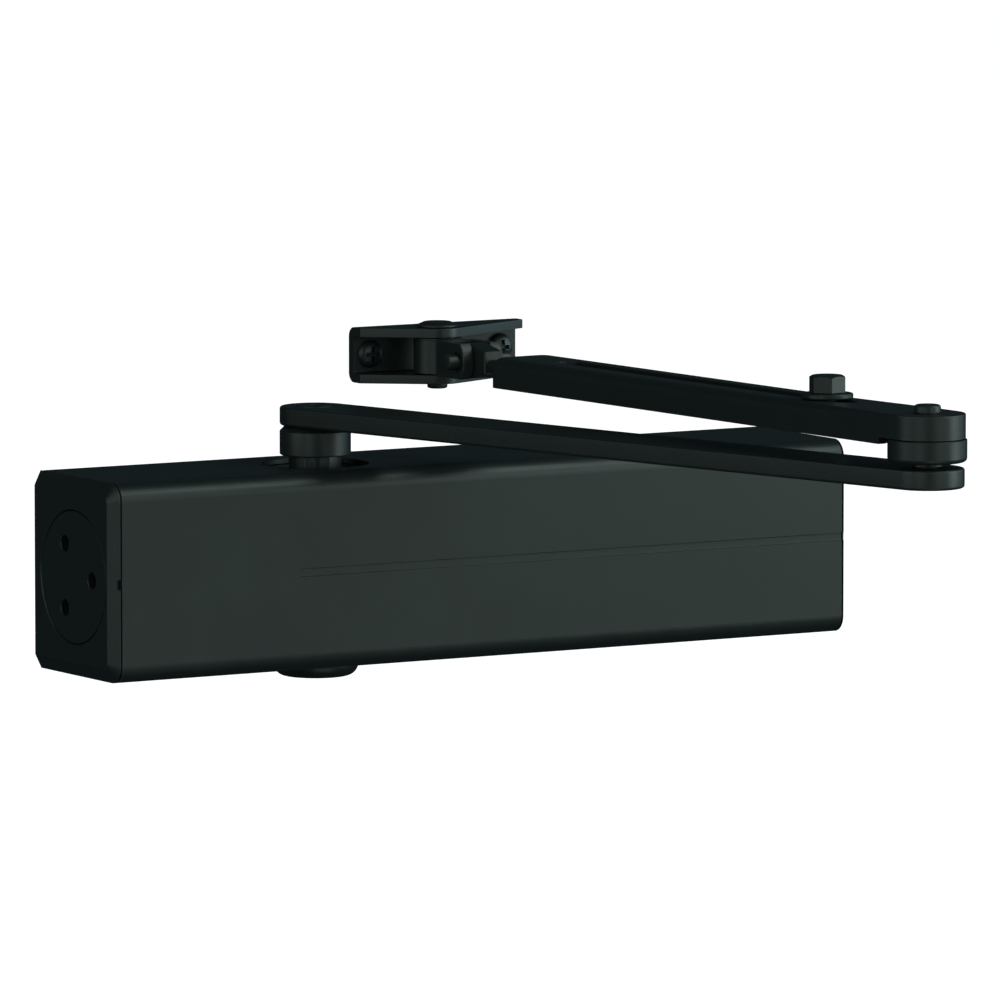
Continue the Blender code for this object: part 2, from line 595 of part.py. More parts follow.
def make_valves(material):
    """Needle valves behind the cover, each on an empty on its own axis."""
    front = -INNER_DEPTH + CLEAR
    for name, x, z in valve_places():
        axis = make_empty(name + "_axis", (x, front, z))
        profile = [(0.0, 0.0), (VALVE_RADIUS - 0.3 * MM, 0.0), (VALVE_RADIUS, 0.3 * MM),
                   (VALVE_RADIUS, VALVE_LENGTH * 0.6), (VALVE_RADIUS * 0.6, VALVE_LENGTH * 0.7),
                   (VALVE_RADIUS * 0.6, VALVE_LENGTH * 0.85), (0.0, VALVE_LENGTH)]
        valve = make_object(name, turned(profile, 12, "Y"), material, axis)
        slot = block((-VALVE_RADIUS * 1.2, -MM, -0.4 * MM), (VALVE_RADIUS * 1.2, 0.9 * MM, 0.4 * MM))
        cut(valve, make_object(name + "_slot", slot, parent=axis))


# ---- spindle bearings, seals and glands ----------------------------------------------------
def make_spindle_seats(materials):
    """Bearing, shaft seal and gland nut above and below the pinion."""
    centre = (SPINDLE_X, AXIS_Y, 0.0)
    inner = JOURNAL_RADIUS + CLEAR
    for level, side in (("upper", 1), ("lower", -1)):
        spans = (("bearing", BEARING_START, BEARING_LENGTH, materials["bronze"]),
                 ("shaft_seal", SEAL_START, SEAL_LENGTH, materials["rubber"]))
        for kind, start, length, material in spans:
            low, high = sorted((side * start, side * (start + length)))
            shape = ring(inner, BEARING_RADIUS, low, high, SIDES, "Z", centre)
            make_object(f"{level}_{kind}", shape, material)
        low, high = sorted((side * GLAND_START, side * GLAND_END))
        gland = make_object(f"{level}_gland_nut", ring(inner, BEARING_RADIUS, low, high, SIDES, "Z", centre),
                            materials["black_steel"])
        for index in range(2):
            angle = pi / 4 + pi / 2 * index
            slot = block((-BEARING_RADIUS - MM, -1.1 * MM, -1.1 * MM), (BEARING_RADIUS + MM, 1.1 * MM, 1.1 * MM))
            place = Matrix.Translation((SPINDLE_X, AXIS_Y, side * GLAND_END)) @ Matrix.Rotation(angle, 4, "Z")
            bmesh.ops.transform(slot, verts=slot.verts, matrix=place)
            cut(gland, make_object(f"{level}_gland_slot_{index + 1}", slot))


def make_spindle_cap(material):
    """Cup that closes the lower end of the spindle."""
    rim = -INNER_HALF_HEIGHT - CLEAR
    edge = [(CAP_RADIUS - CAP_ROUND + CAP_ROUND * sin(angle), CAP_BOTTOM + CAP_ROUND - CAP_ROUND * cos(angle))
            for angle in (0.0, pi / 8, pi / 4, 3 * pi / 8, pi / 2)]
    inside = CAP_RADIUS - CAP_WALL
    profile = [(0.0, CAP_BOTTOM)] + edge + [(CAP_RADIUS, rim), (inside, rim),
                                            (inside, CAP_BOTTOM + CAP_WALL), (0.0, CAP_BOTTOM + CAP_WALL)]
    make_object("spindle_cap", turned(profile, SIDES, "Z", (SPINDLE_X, AXIS_Y, 0.0)), material)


# ---- piston, rack and spring ---------------------------------------------------------------
def rack_outline():
    """Window of the piston in (X, Y) about the spindle, with rack teeth on its front side."""
    tip = PITCH_RADIUS - RACK_ADDENDUM
    slope = tan(PRESSURE_ANGLE)
    half_pitch_line = (TOOTH_PITCH / 2 - BACKLASH) / 2
    half_tip = half_pitch_line - RACK_ADDENDUM * slope
    half_root = half_pitch_line + (RACK_ROOT - PITCH_RADIUS) * slope
    left = WINDOW_LEFT - SPINDLE_X
    right = WINDOW_RIGHT - SPINDLE_X
    points = [(left, RACK_ROOT), (left, -RACK_ROOT)]
    first = -int((-left - half_root) / TOOTH_PITCH)
    last = int((right - half_root) / TOOTH_PITCH)
    for index in range(first, last + 1):
        x = index * TOOTH_PITCH
        points += [(x - half_root, -RACK_ROOT), (x - half_tip, -tip), (x + half_tip, -tip),
                   (x + half_root, -RACK_ROOT)]
    points += [(right, -RACK_ROOT), (right, RACK_ROOT)]
    return points


def make_piston(materials):
    axis = make_empty("piston_axis", (SPINDLE_X, AXIS_Y, 0.0))
    left = PISTON_LEFT - SPINDLE_X
    right = PISTON_RIGHT - SPINDLE_X
    seal_at = left + 4.0 * MM
    groove = PISTON_SEAL_CORD / 2 + CLEAR
    groove_radius = PISTON_RADIUS - PISTON_SEAL_CORD - CLEAR
    edge = 0.8 * MM
    profile = [(0.0, right), (PISTON_RADIUS - edge, right), (PISTON_RADIUS, right - edge),
               (PISTON_RADIUS, seal_at + groove), (groove_radius, seal_at + groove),
               (groove_radius, seal_at - groove), (PISTON_RADIUS, seal_at - groove),
               (PISTON_RADIUS, left + edge), (PISTON_RADIUS - edge, left),
               (CHECK_HOLE_RADIUS, left), (CHECK_HOLE_RADIUS, left + CHECK_HOLE_DEPTH),
               (CHECK_PORT_RADIUS, left + CHECK_HOLE_DEPTH + 2 * MM),
               (CHECK_PORT_RADIUS, left + PISTON_LAND + MM), (0.0, left + PISTON_LAND + MM)]
    piston = make_object("piston", turned(profile, SIDES, "X"), materials["steel"], axis)
    window = slab(rack_outline(), -BORE_RADIUS - MM, BORE_RADIUS + MM)
    cut(piston, make_object("piston_window", window, parent=axis))
    margin = 0.4 * MM
    for name, side in (("upper", 1), ("lower", -1)):
        low, high = sorted((side * RACK_HALF_FACE, side * (BORE_RADIUS + MM)))
        relief = block((WINDOW_LEFT - SPINDLE_X + margin, -RACK_ROOT - margin, low),
                       (WINDOW_RIGHT - SPINDLE_X - margin, 0.0, high))
        cut(piston, make_object(f"rack_relief_{name}", relief, parent=axis))
    seal = seal_ring(PISTON_RADIUS - PISTON_SEAL_CORD / 2 - CLEAR / 2, PISTON_SEAL_CORD, SIDES, "X",
                     (seal_at, 0.0, 0.0))
    make_object("piston_seal", seal, materials["rubber"], axis)

    seat_end = left + CLEAR + CHECK_SEAT_LENGTH
    lip = 2.2 * MM
    cone = 1.4 * MM
    profile = [(lip, left + CLEAR), (CHECK_HOLE_RADIUS - CLEAR, left + CLEAR),
               (CHECK_HOLE_RADIUS - CLEAR, seat_end), (lip + cone, seat_end), (lip, seat_end - cone)]
    make_object("check_valve_seat", turned(profile, SMALL_SIDES, "X", closed=True), materials["bronze"], axis)
    stand_off = sqrt((CHECK_BALL_RADIUS + CLEAR) ** 2 - lip ** 2)
    ball = bmesh.new()
    bmesh.ops.create_uvsphere(ball, u_segments=12, v_segments=8, radius=CHECK_BALL_RADIUS)
    bmesh.ops.translate(ball, verts=ball.verts, vec=(seat_end - cone + stand_off + CLEAR, 0.0, 0.0))
    make_object("check_valve_ball", ball, materials["steel"], axis)


def make_spring(material):
    """Compression spring with flattened end turns."""
    length = SPRING_END - SPRING_START - SPRING_WIRE
    per_turn = 16
    closed_turns = 1.0
    total = SPRING_TURNS
    closed_pitch = SPRING_WIRE * 1.06
    open_pitch = (length - 2 * closed_turns * closed_pitch) / (total - 2 * closed_turns)

    def along(turn):
        if turn < closed_turns:
            return turn * closed_pitch
        if turn > total - closed_turns:
            return length - (total - turn) * closed_pitch
        return closed_turns * closed_pitch + (turn - closed_turns) * open_pitch

    shape = bmesh.new()
    sides = 6
    rings = []
    count = total * per_turn
    for index in range(count + 1):
        turn = index / per_turn
        angle = 2 * pi * turn
        outward = Vector((0.0, cos(angle), sin(angle)))
        centre = Vector((SPRING_START + SPRING_WIRE / 2 + along(turn), AXIS_Y, 0.0)) + outward * SPRING_MEAN_RADIUS
        loop = []
        for side in range(sides):
            around = 2 * pi * side / sides
            offset = outward * cos(around) + Vector((1.0, 0.0, 0.0)) * sin(around)
            loop.append(shape.verts.new(centre + offset * SPRING_WIRE / 2))
        rings.append(loop)
    for first, second in zip(rings, rings[1:]):
        for side in range(sides):
            after = (side + 1) % sides
            shape.faces.new((first[side], first[after], second[after], second[side]))
    shape.faces.new(rings[0])
    shape.faces.new(rings[-1])
    make_object("main_spring", shape, material)


def make_spring_adjuster(materials):
    """Spring seat, and the screw that sets the closing force."""
    centre = (0.0, AXIS_Y, 0.0)
    seat_back = SEAT_FACE + SEAT_THICKNESS
    spigot_tip = SEAT_FACE - SEAT_SPIGOT_LENGTH
    edge = 0.8 * MM
    profile = [(0.0, spigot_tip), (SEAT_SPIGOT_RADIUS - edge, spigot_tip),
               (SEAT_SPIGOT_RADIUS, spigot_tip + edge), (SEAT_SPIGOT_RADIUS, SEAT_FACE),
               (BORE_RADIUS - 2 * CLEAR, SEAT_FACE), (BORE_RADIUS - 2 * CLEAR, seat_back), (0.0, seat_back)]
    make_object("spring_seat", turned(profile, SIDES, "X", centre), materials["steel"])
    axis = make_empty("power_screw_axis", (HALF_LENGTH, AXIS_Y, 0.0))
    face = -PLUG_FACE_INSET - 1.2 * MM
    tip = seat_back + CLEAR - HALF_LENGTH
    screw = make_object("power_screw", rod(POWER_SCREW_RADIUS, tip, face, SMALL_SIDES, "X", chamfer=0.5 * MM),
                        materials["steel"], axis)
    socket = slab(hexagon(4.0 * MM), face - 3.5 * MM, face + MM)
    bmesh.ops.transform(socket, verts=socket.verts, matrix=turn_to("X"))
    cut(screw, make_object("power_screw_socket", socket, parent=axis))


# ---- spindle and pinion --------------------------------------------------------------------
def involute_angle(radius, base):
    """Polar angle swept by an involute from its base circle to a radius."""
    ratio = sqrt(max((radius / base) ** 2 - 1.0, 0.0))
    return ratio - atan2(ratio, 1.0)


def pinion_outline(phase):
    """Toothed outline of the pinion; a tooth centre lies at phase."""
    base = PITCH_RADIUS * cos(PRESSURE_ANGLE)
    half_tooth = (TOOTH_PITCH / 2 - BACKLASH) / PITCH_RADIUS / 2
    at_pitch = involute_angle(PITCH_RADIUS, base)
    radii = [base + (PINION_OUTER - base) * index / 3 for index in range(4)]
    points = []
    for tooth in range(PINION_TEETH):
        middle = phase + 2 * pi * tooth / PINION_TEETH
        flank = [(PINION_ROOT, half_tooth + at_pitch + 0.04)]
        flank += [(radius, half_tooth + at_pitch - involute_angle(radius, base)) for radius in radii]
        for radius, offset in flank:
            points.append((radius * cos(middle - offset), radius * sin(middle - offset)))
        for radius, offset in reversed(flank):
            points.append((radius * cos(middle + offset), radius * sin(middle + offset)))
    return points


def make_spindle(material, arm_axis):
    """Spindle with its pinion; a tooth gap faces the rack's middle tooth at rest."""
    phase = -pi / 2 + pi / PINION_TEETH - ARM_ANGLE
    half_face = PINION_FACE / 2
    shape = slab(pinion_outline(phase), -half_face, half_face)
    spindle = make_object("spindle", shape, material, arm_axis)
    edge = 0.8 * MM
    square_start = COLLAR_BOTTOM + 0.5 * MM
    lower = rod(JOURNAL_RADIUS, SPINDLE_BOTTOM, -half_face + JOURNAL_OVERLAP, SIDES, chamfer=edge)
    cut(spindle, make_object("spindle_lower_journal", lower, parent=arm_axis), "UNION")
    upper = rod(JOURNAL_RADIUS, half_face - JOURNAL_OVERLAP, square_start, SIDES, chamfer=edge)
    cut(spindle, make_object("spindle_upper_journal", upper, parent=arm_axis), "UNION")
    half = SQUARE_SIDE / 2
    square = block((-half, -half, square_start - MM), (half, half, ARM_TOP - ARM_SCREW_HEAD - 2 * CLEAR))
    cut(spindle, make_object("spindle_square", square, parent=arm_axis), "UNION")
    hole = rod(2.6 * MM, ARM_BOTTOM - 6 * MM, ARM_TOP + MM, 16)
    cut(spindle, make_object("spindle_thread_hole", hole, parent=arm_axis))


# ---- main arm ------------------------------------------------------------------------------
def stadium(length, width, steps=16):
    """Outline with round ends about (0, 0) and (length, 0)."""
    radius = width / 2
    return arc((0.0, 0.0), radius, pi / 2, 3 * pi / 2, steps) + arc((length, 0.0), radius, -pi / 2, pi / 2, steps)


def make_main_arm(materials, arm_axis):
    half = SQUARE_SIDE / 2 + CLEAR
    profile = [(0.0, COLLAR_BOTTOM), (COLLAR_RADIUS - COLLAR_LOW_CHAMFER, COLLAR_BOTTOM),
               (COLLAR_RADIUS, COLLAR_BOTTOM + COLLAR_LOW_CHAMFER),
               (COLLAR_RADIUS, COLLAR_TOP - COLLAR_TOP_CHAMFER),
               (COLLAR_RADIUS - COLLAR_TOP_CHAMFER, COLLAR_TOP), (0.0, COLLAR_TOP)]
    collar = make_object("spindle_collar", turned(profile, 40), materials["cover"], arm_axis)
    square = block((-half, -half, COLLAR_BOTTOM + 2 * MM), (half, half, ARM_BOTTOM + MM))
    cut(collar, make_object("collar_square", square, parent=arm_axis))
    round_hole = rod(JOURNAL_RADIUS + CLEAR, COLLAR_BOTTOM - MM, COLLAR_BOTTOM + 2.3 * MM, SIDES)
    cut(collar, make_object("collar_round", round_hole, parent=arm_axis))

    shape = slab(stadium(ARM_LENGTH, ARM_WIDTH), ARM_BOTTOM, ARM_TOP)
    bevel_edges(shape, flat_edges_at(ARM_TOP), ARM_TOP_EDGE, 2)
    bevel_edges(shape, flat_edges_at(ARM_BOTTOM), ARM_LOW_EDGE, 2)
    arm = make_object("main_arm", shape, materials["paint"], arm_axis)
    hole = block((-half, -half, ARM_BOTTOM - MM), (half, half, ARM_TOP - ARM_SCREW_HEAD - CLEAR))
    cut(arm, make_object("arm_square", hole, parent=arm_axis))
    sink = rod(ARM_SCREW_RADIUS + CLEAR, ARM_TOP - ARM_SCREW_HEAD - 2 * CLEAR, ARM_TOP + MM, SMALL_SIDES)
    cut(arm, make_object("arm_screw_sink", sink, parent=arm_axis))
    pin_hole = rod(ELBOW_PIN_RADIUS + CLEAR, ARM_BOTTOM - MM, ARM_TOP + MM, SMALL_SIDES,
                   centre=(ARM_LENGTH, 0.0, 0.0))
    cut(arm, make_object("arm_pin_hole", pin_hole, parent=arm_axis))
    recess = rod(CLIP_RECESS_RADIUS, ARM_BOTTOM - MM, ARM_BOTTOM + CLIP_RECESS_DEPTH, SMALL_SIDES,
                 centre=(ARM_LENGTH, 0.0, 0.0))
    cut(arm, make_object("arm_clip_recess", recess, parent=arm_axis))

    head_low = ARM_TOP - ARM_SCREW_HEAD
    thread = ARM_SCREW_THREAD
    profile = [(0.0, ARM_BOTTOM - 5 * MM), (thread, ARM_BOTTOM - 5 * MM), (thread, head_low),
               (ARM_SCREW_RADIUS, head_low), (ARM_SCREW_RADIUS, ARM_TOP - 0.2 * MM),
               (ARM_SCREW_RADIUS - 0.4 * MM, ARM_TOP + 0.2 * MM), (0.0, ARM_TOP + 0.2 * MM)]
    screw = make_object("arm_screw", turned(profile, SMALL_SIDES), materials["black_steel"], arm_axis)
    socket = slab(hexagon(ARM_SCREW_SOCKET), ARM_TOP - 1.4 * MM, ARM_TOP + MM)
    cut(screw, make_object("arm_screw_socket", socket, parent=arm_axis))


# ---- elbow and forearm ---------------------------------------------------------------------
def make_elbow(materials, elbow_axis):
    inner = ELBOW_PIN_RADIUS + CLEAR
    fillet = ELBOW_HUB_FILLET
    profile = [(inner, HUB_BOTTOM), (ELBOW_HUB_RADIUS - fillet, HUB_BOTTOM),
               (ELBOW_HUB_RADIUS - fillet * 0.3, HUB_BOTTOM + fillet * 0.3),
               (ELBOW_HUB_RADIUS, HUB_BOTTOM + fillet), (ELBOW_HUB_RADIUS, HUB_TOP), (inner, HUB_TOP)]
    make_object("elbow_hub", turned(profile, 36, closed=True), materials["paint"], elbow_axis)
    washer = ring(inner, inner + ELBOW_WASHER_WIDTH, ARM_TOP + CLEAR, HUB_BOTTOM - CLEAR, SMALL_SIDES)
    make_object("elbow_washer", washer, materials["black_steel"], elbow_axis)
    head_low = FOREARM_TOP + CLEAR
    head_top = head_low + ELBOW_HEAD_HEIGHT
    tail = ARM_BOTTOM - ELBOW_TAIL
    clip_at = ARM_BOTTOM + CLIP_HEIGHT
    neck = ELBOW_PIN_RADIUS - CLIP_GROOVE
    groove = CLIP_THICKNESS / 2 + CLEAR
    profile = [(0.0, tail), (ELBOW_PIN_RADIUS - 0.4 * MM, tail), (ELBOW_PIN_RADIUS, tail + 0.4 * MM),
               (ELBOW_PIN_RADIUS, clip_at - groove), (neck, clip_at - groove), (neck, clip_at + groove),
               (ELBOW_PIN_RADIUS, clip_at + groove), (ELBOW_PIN_RADIUS, head_low),
               (ELBOW_HEAD_RADIUS, head_low), (ELBOW_HEAD_RADIUS, head_top - ELBOW_HEAD_EDGE),
               (ELBOW_HEAD_RADIUS - ELBOW_HEAD_EDGE, head_top), (0.0, head_top)]
    make_object("elbow_pin", turned(profile, SMALL_SIDES), materials["paint"], elbow_axis)
    outline = arc((0.0, 0.0), ELBOW_PIN_RADIUS + CLIP_WIDTH, radians(-140), radians(140), 16)
    outline += arc((0.0, 0.0), neck + CLEAR, radians(140), radians(-140), 16)
    clip = slab(outline, clip_at - CLIP_THICKNESS / 2, clip_at + CLIP_THICKNESS / 2)
    make_object("elbow_clip", clip, materials["black_steel"], elbow_axis)


def make_forearm(material, elbow_axis):
    """Pressed channel, open below and at its far end, with a round solid end over the elbow."""
    radius = FOREARM_WIDTH / 2
    corner = FOREARM_CORNER
    outline = arc((0.0, 0.0), radius, pi / 2, 3 * pi / 2, 18)
    outline += arc((FOREARM_LENGTH - corner, corner - radius), corner, -pi / 2, 0.0, 5)
    outline += arc((FOREARM_LENGTH - corner, radius - corner), corner, 0.0, pi / 2, 5)
    shape = slab(outline, FOREARM_BOTTOM, FOREARM_TOP)
    bevel_edges(shape, flat_edges_at(FOREARM_TOP), FOREARM_BEND, 4)
    forearm = make_object("forearm", shape, material, elbow_axis)
    inside = radius - FOREARM_WALL
    pocket_start = ELBOW_HUB_RADIUS + HUB_TO_POCKET
    pocket = slab(arc((pocket_start + inside, 0.0), inside, pi / 2, 3 * pi / 2, 12)
                  + [(FOREARM_LENGTH + MM, -inside), (FOREARM_LENGTH + MM, inside)],
                  FOREARM_BOTTOM - MM, FOREARM_TOP - FOREARM_WALL)
    bevel_edges(pocket, flat_edges_at(FOREARM_TOP - FOREARM_WALL), FOREARM_BEND - FOREARM_WALL, 2)
    cut(forearm, make_object("forearm_pocket", pocket, parent=elbow_axis))
    notch = block((-radius - MM, -radius - MM, FOREARM_BOTTOM - MM),
                  (FOREARM_NOTCH, radius + MM, FOREARM_END_BOTTOM))
    cut(forearm, make_object("forearm_notch", notch, parent=elbow_axis))
    hub_room = rod(ELBOW_HUB_RADIUS + HUB_SIDE_GAP, FOREARM_BOTTOM - MM, FOREARM_END_BOTTOM, 36)
    cut(forearm, make_object("forearm_hub_room", hub_room, parent=elbow_axis))
    slot = slab(stadium(SLOT_END - SLOT_START - SLOT_WIDTH, SLOT_WIDTH, 8), FOREARM_TOP - FOREARM_WALL - MM,
                FOREARM_TOP + MM)
    bmesh.ops.translate(slot, verts=slot.verts, vec=(SLOT_START + SLOT_WIDTH / 2, 0.0, 0.0))
    cut(forearm, make_object("forearm_slot", slot, parent=elbow_axis))
    hole = rod(ELBOW_PIN_RADIUS + CLEAR, FOREARM_BOTTOM - MM, FOREARM_TOP + MM, SMALL_SIDES)
    cut(forearm, make_object("forearm_pin_hole", hole, parent=elbow_axis))


# ---- slider, clamp and fork ----------------------------------------------------------------
def tongue_outline():
    """Side view of the tongue: a round eye that tapers to a straight end."""
    block_end = CROSS_X - TONGUE_LENGTH
    reach = hypot(TONGUE_LENGTH, TONGUE_END_HALF)
    lean = atan2(TONGUE_END_HALF, TONGUE_LENGTH) + acos(TONGUE_RADIUS / reach)
    eye = arc((CROSS_X, CROSS_Z), TONGUE_RADIUS, -(pi - lean), pi - lean, 16)
    return eye + [(block_end, CROSS_Z + TONGUE_END_HALF), (block_end, CROSS_Z - TONGUE_END_HALF)]


def make_slider(materials, slider_axis):
    """Flat slider that ends in an upright tongue, in the forearm's own axes."""
    half = SLIDER_WIDTH / 2
    tail = BOLT_FROM_ELBOW - SLIDER_TAIL
    tongue_half = EAR_GAP / 2 - TONGUE_SIDE_GAP
    bar_end = FOREARM_LENGTH - SLIDER_INSIDE
    block_end = CROSS_X - TONGUE_LENGTH
    neck_z = SLIDER_TOP - NECK_RADIUS - NECK_DROP
    shape = block((tail, -half, SLIDER_BOTTOM), (bar_end, half, SLIDER_TOP))
    slider = make_object("slider", shape, materials["paint"], slider_axis)
    eye = tongue_outline()
    tongue = slab(eye, -tongue_half, tongue_half)
    bmesh.ops.transform(tongue, verts=tongue.verts, matrix=Matrix.Rotation(pi / 2, 4, "X"))
    neck = rod(NECK_RADIUS, bar_end - 2 * MM, block_end + MM, SMALL_SIDES, "X", (0.0, 0.0, neck_z))
    cut(slider, make_object("slider_neck", neck, parent=slider_axis), "UNION")
    cut(slider, make_object("slider_tongue", tongue, parent=slider_axis), "UNION")
    eye_hole = rod(CROSS_PIN_RADIUS + CLEAR, -half, half, SMALL_SIDES, "Y", (CROSS_X, 0.0, CROSS_Z))
    cut(slider, make_object("slider_eye_hole", eye_hole, parent=slider_axis))
    bolt_hole = rod(BOLT_RADIUS + CLEAR, SLIDER_BOTTOM - MM, SLIDER_TOP + MM, SMALL_SIDES,
                    centre=(BOLT_FROM_ELBOW, 0.0, 0.0))
    cut(slider, make_object("slider_bolt_hole", bolt_hole, parent=slider_axis))


def make_clamp(materials, slider_axis):
    """Hexagon bolt, washer and square nut that clamp the slider in the slot."""
    at = (BOLT_FROM_ELBOW, 0.0, 0.0)
    washer_low = FOREARM_TOP + CLEAR
    washer_high = washer_low + WASHER_THICKNESS
    washer = ring(BOLT_RADIUS + CLEAR, WASHER_RADIUS, washer_low, washer_high, SIDES, "Z", at, 0.3 * MM)
    make_object("clamp_washer", washer, materials["paint"], slider_axis)
    head_low = washer_high + CLEAR
    shape = slab(shifted(hexagon(BOLT_HEAD_FLATS, BOLT_HEAD_TURN), *at[:2]), head_low, head_low + BOLT_HEAD_HEIGHT)
    bevel_edges(shape, flat_edges_at(head_low + BOLT_HEAD_HEIGHT), 0.5 * MM, 1)
    bolt = make_object("clamp_bolt", shape, materials["paint"], slider_axis)
    nut_low = SLIDER_BOTTOM - CLEAR - NUT_THICKNESS
    shank = rod(BOLT_RADIUS, nut_low - 0.3 * MM, head_low + MM, SMALL_SIDES, centre=at)
    cut(bolt, make_object("clamp_bolt_shank", shank, parent=slider_axis), "UNION")
    half = NUT_SIDE / 2
    nut = make_object("clamp_nut", block((at[0] - half, -half, nut_low), (at[0] + half, half, nut_low + NUT_THICKNESS)),
                      materials["steel"], slider_axis)
    hole = rod(BOLT_RADIUS + CLEAR, nut_low - MM, nut_low + NUT_THICKNESS + MM, SMALL_SIDES, centre=at)
    cut(nut, make_object("clamp_nut_hole", hole, parent=slider_axis))


def make_fork(materials, tilt_axis):
    """Swivel fork: an upright barrel for the pivot pin and two ears for the cross pin."""
    barrel_x = CROSS_FROM_PIVOT
    low = BARREL_LOW - CROSS_Z
    high = BARREL_HIGH - CROSS_Z
    fork = make_object("swivel_fork", rod(BARREL_RADIUS, low, high, 36, centre=(barrel_x, 0.0, 0.0)),
                       materials["paint"], tilt_axis)
    ear_half = EAR_HEIGHT / 2
    ear_tip = barrel_x - EAR_END
    shoulder_x = barrel_x - EAR_START
    web = block((shoulder_x - MM, -EAR_GAP / 2, low), (barrel_x - BARREL_RADIUS * 0.4, EAR_GAP / 2, high))
    cut(fork, make_object("fork_web", web, parent=tilt_axis), "UNION")
    tip_angle = asin(ear_half / EAR_TIP_RADIUS)
    outline = [(shoulder_x, -ear_half), (shoulder_x, ear_half)]
    outline += arc((ear_tip + EAR_TIP_RADIUS, 0.0), EAR_TIP_RADIUS, pi - tip_angle, pi + tip_angle, 8)
    body = slab(outline, -EAR_OUTSIDE, EAR_OUTSIDE)
    bmesh.ops.transform(body, verts=body.verts, matrix=Matrix.Rotation(pi / 2, 4, "X"))
    cut(fork, make_object("fork_body", body, parent=tilt_axis), "UNION")
    cross_hole = rod(CROSS_PIN_RADIUS + CLEAR, -EAR_OUTSIDE - MM, EAR_OUTSIDE + MM, SMALL_SIDES, "Y")
    cut(fork, make_object("fork_cross_hole", cross_hole, parent=tilt_axis))
    gap_end = shoulder_x - EAR_ROOT
    gap = block((ear_tip - MM, -EAR_GAP / 2, -ear_half - MM), (gap_end, EAR_GAP / 2, ear_half + MM))
    cut(fork, make_object("fork_gap", gap, parent=tilt_axis))
    pivot_hole = rod(PIVOT_PIN_RADIUS + CLEAR, low - MM, high + MM, SMALL_SIDES, centre=(barrel_x, 0.0, 0.0))
    cut(fork, make_object("fork_pivot_hole", pivot_hole, parent=tilt_axis))
    half = EAR_OUTSIDE + CROSS_PIN_STAND
    make_object("cross_pin", rod(CROSS_PIN_RADIUS, -half, half, SMALL_SIDES, "Y", chamfer=0.4 * MM),
                materials["paint"], tilt_axis)


# ---- bracket -------------------------------------------------------------------------------
def tangent_point(start, centre, radius, side):
    """Point where the line from start touches the circle; side is 1 or -1."""
    dx = centre[0] - start[0]
    dy = centre[1] - start[1]
    distance = hypot(dx, dy)
    angle = atan2(-dy, -dx) + side * acos(radius / distance)
    return angle


def bracket_plan(back):
    """Plan of a flange: straight back, two ends and a round nose about the pivot."""
    left = -PIVOT_FROM_LEFT
    right = BRACKET_LENGTH - PIVOT_FROM_LEFT
    front = PIVOT_DEPTH - BRACKET_END_DEPTH
    from_left = tangent_point((left, front), (0.0, 0.0), BRACKET_NOSE_RADIUS, 1)
    from_right = tangent_point((right, front), (0.0, 0.0), BRACKET_NOSE_RADIUS, -1)
    nose = arc((0.0, 0.0), BRACKET_NOSE_RADIUS, from_left % (2 * pi), from_right % (2 * pi), 12)
    return [(right, back), (left, back), (left, front)] + nose + [(right, front)]


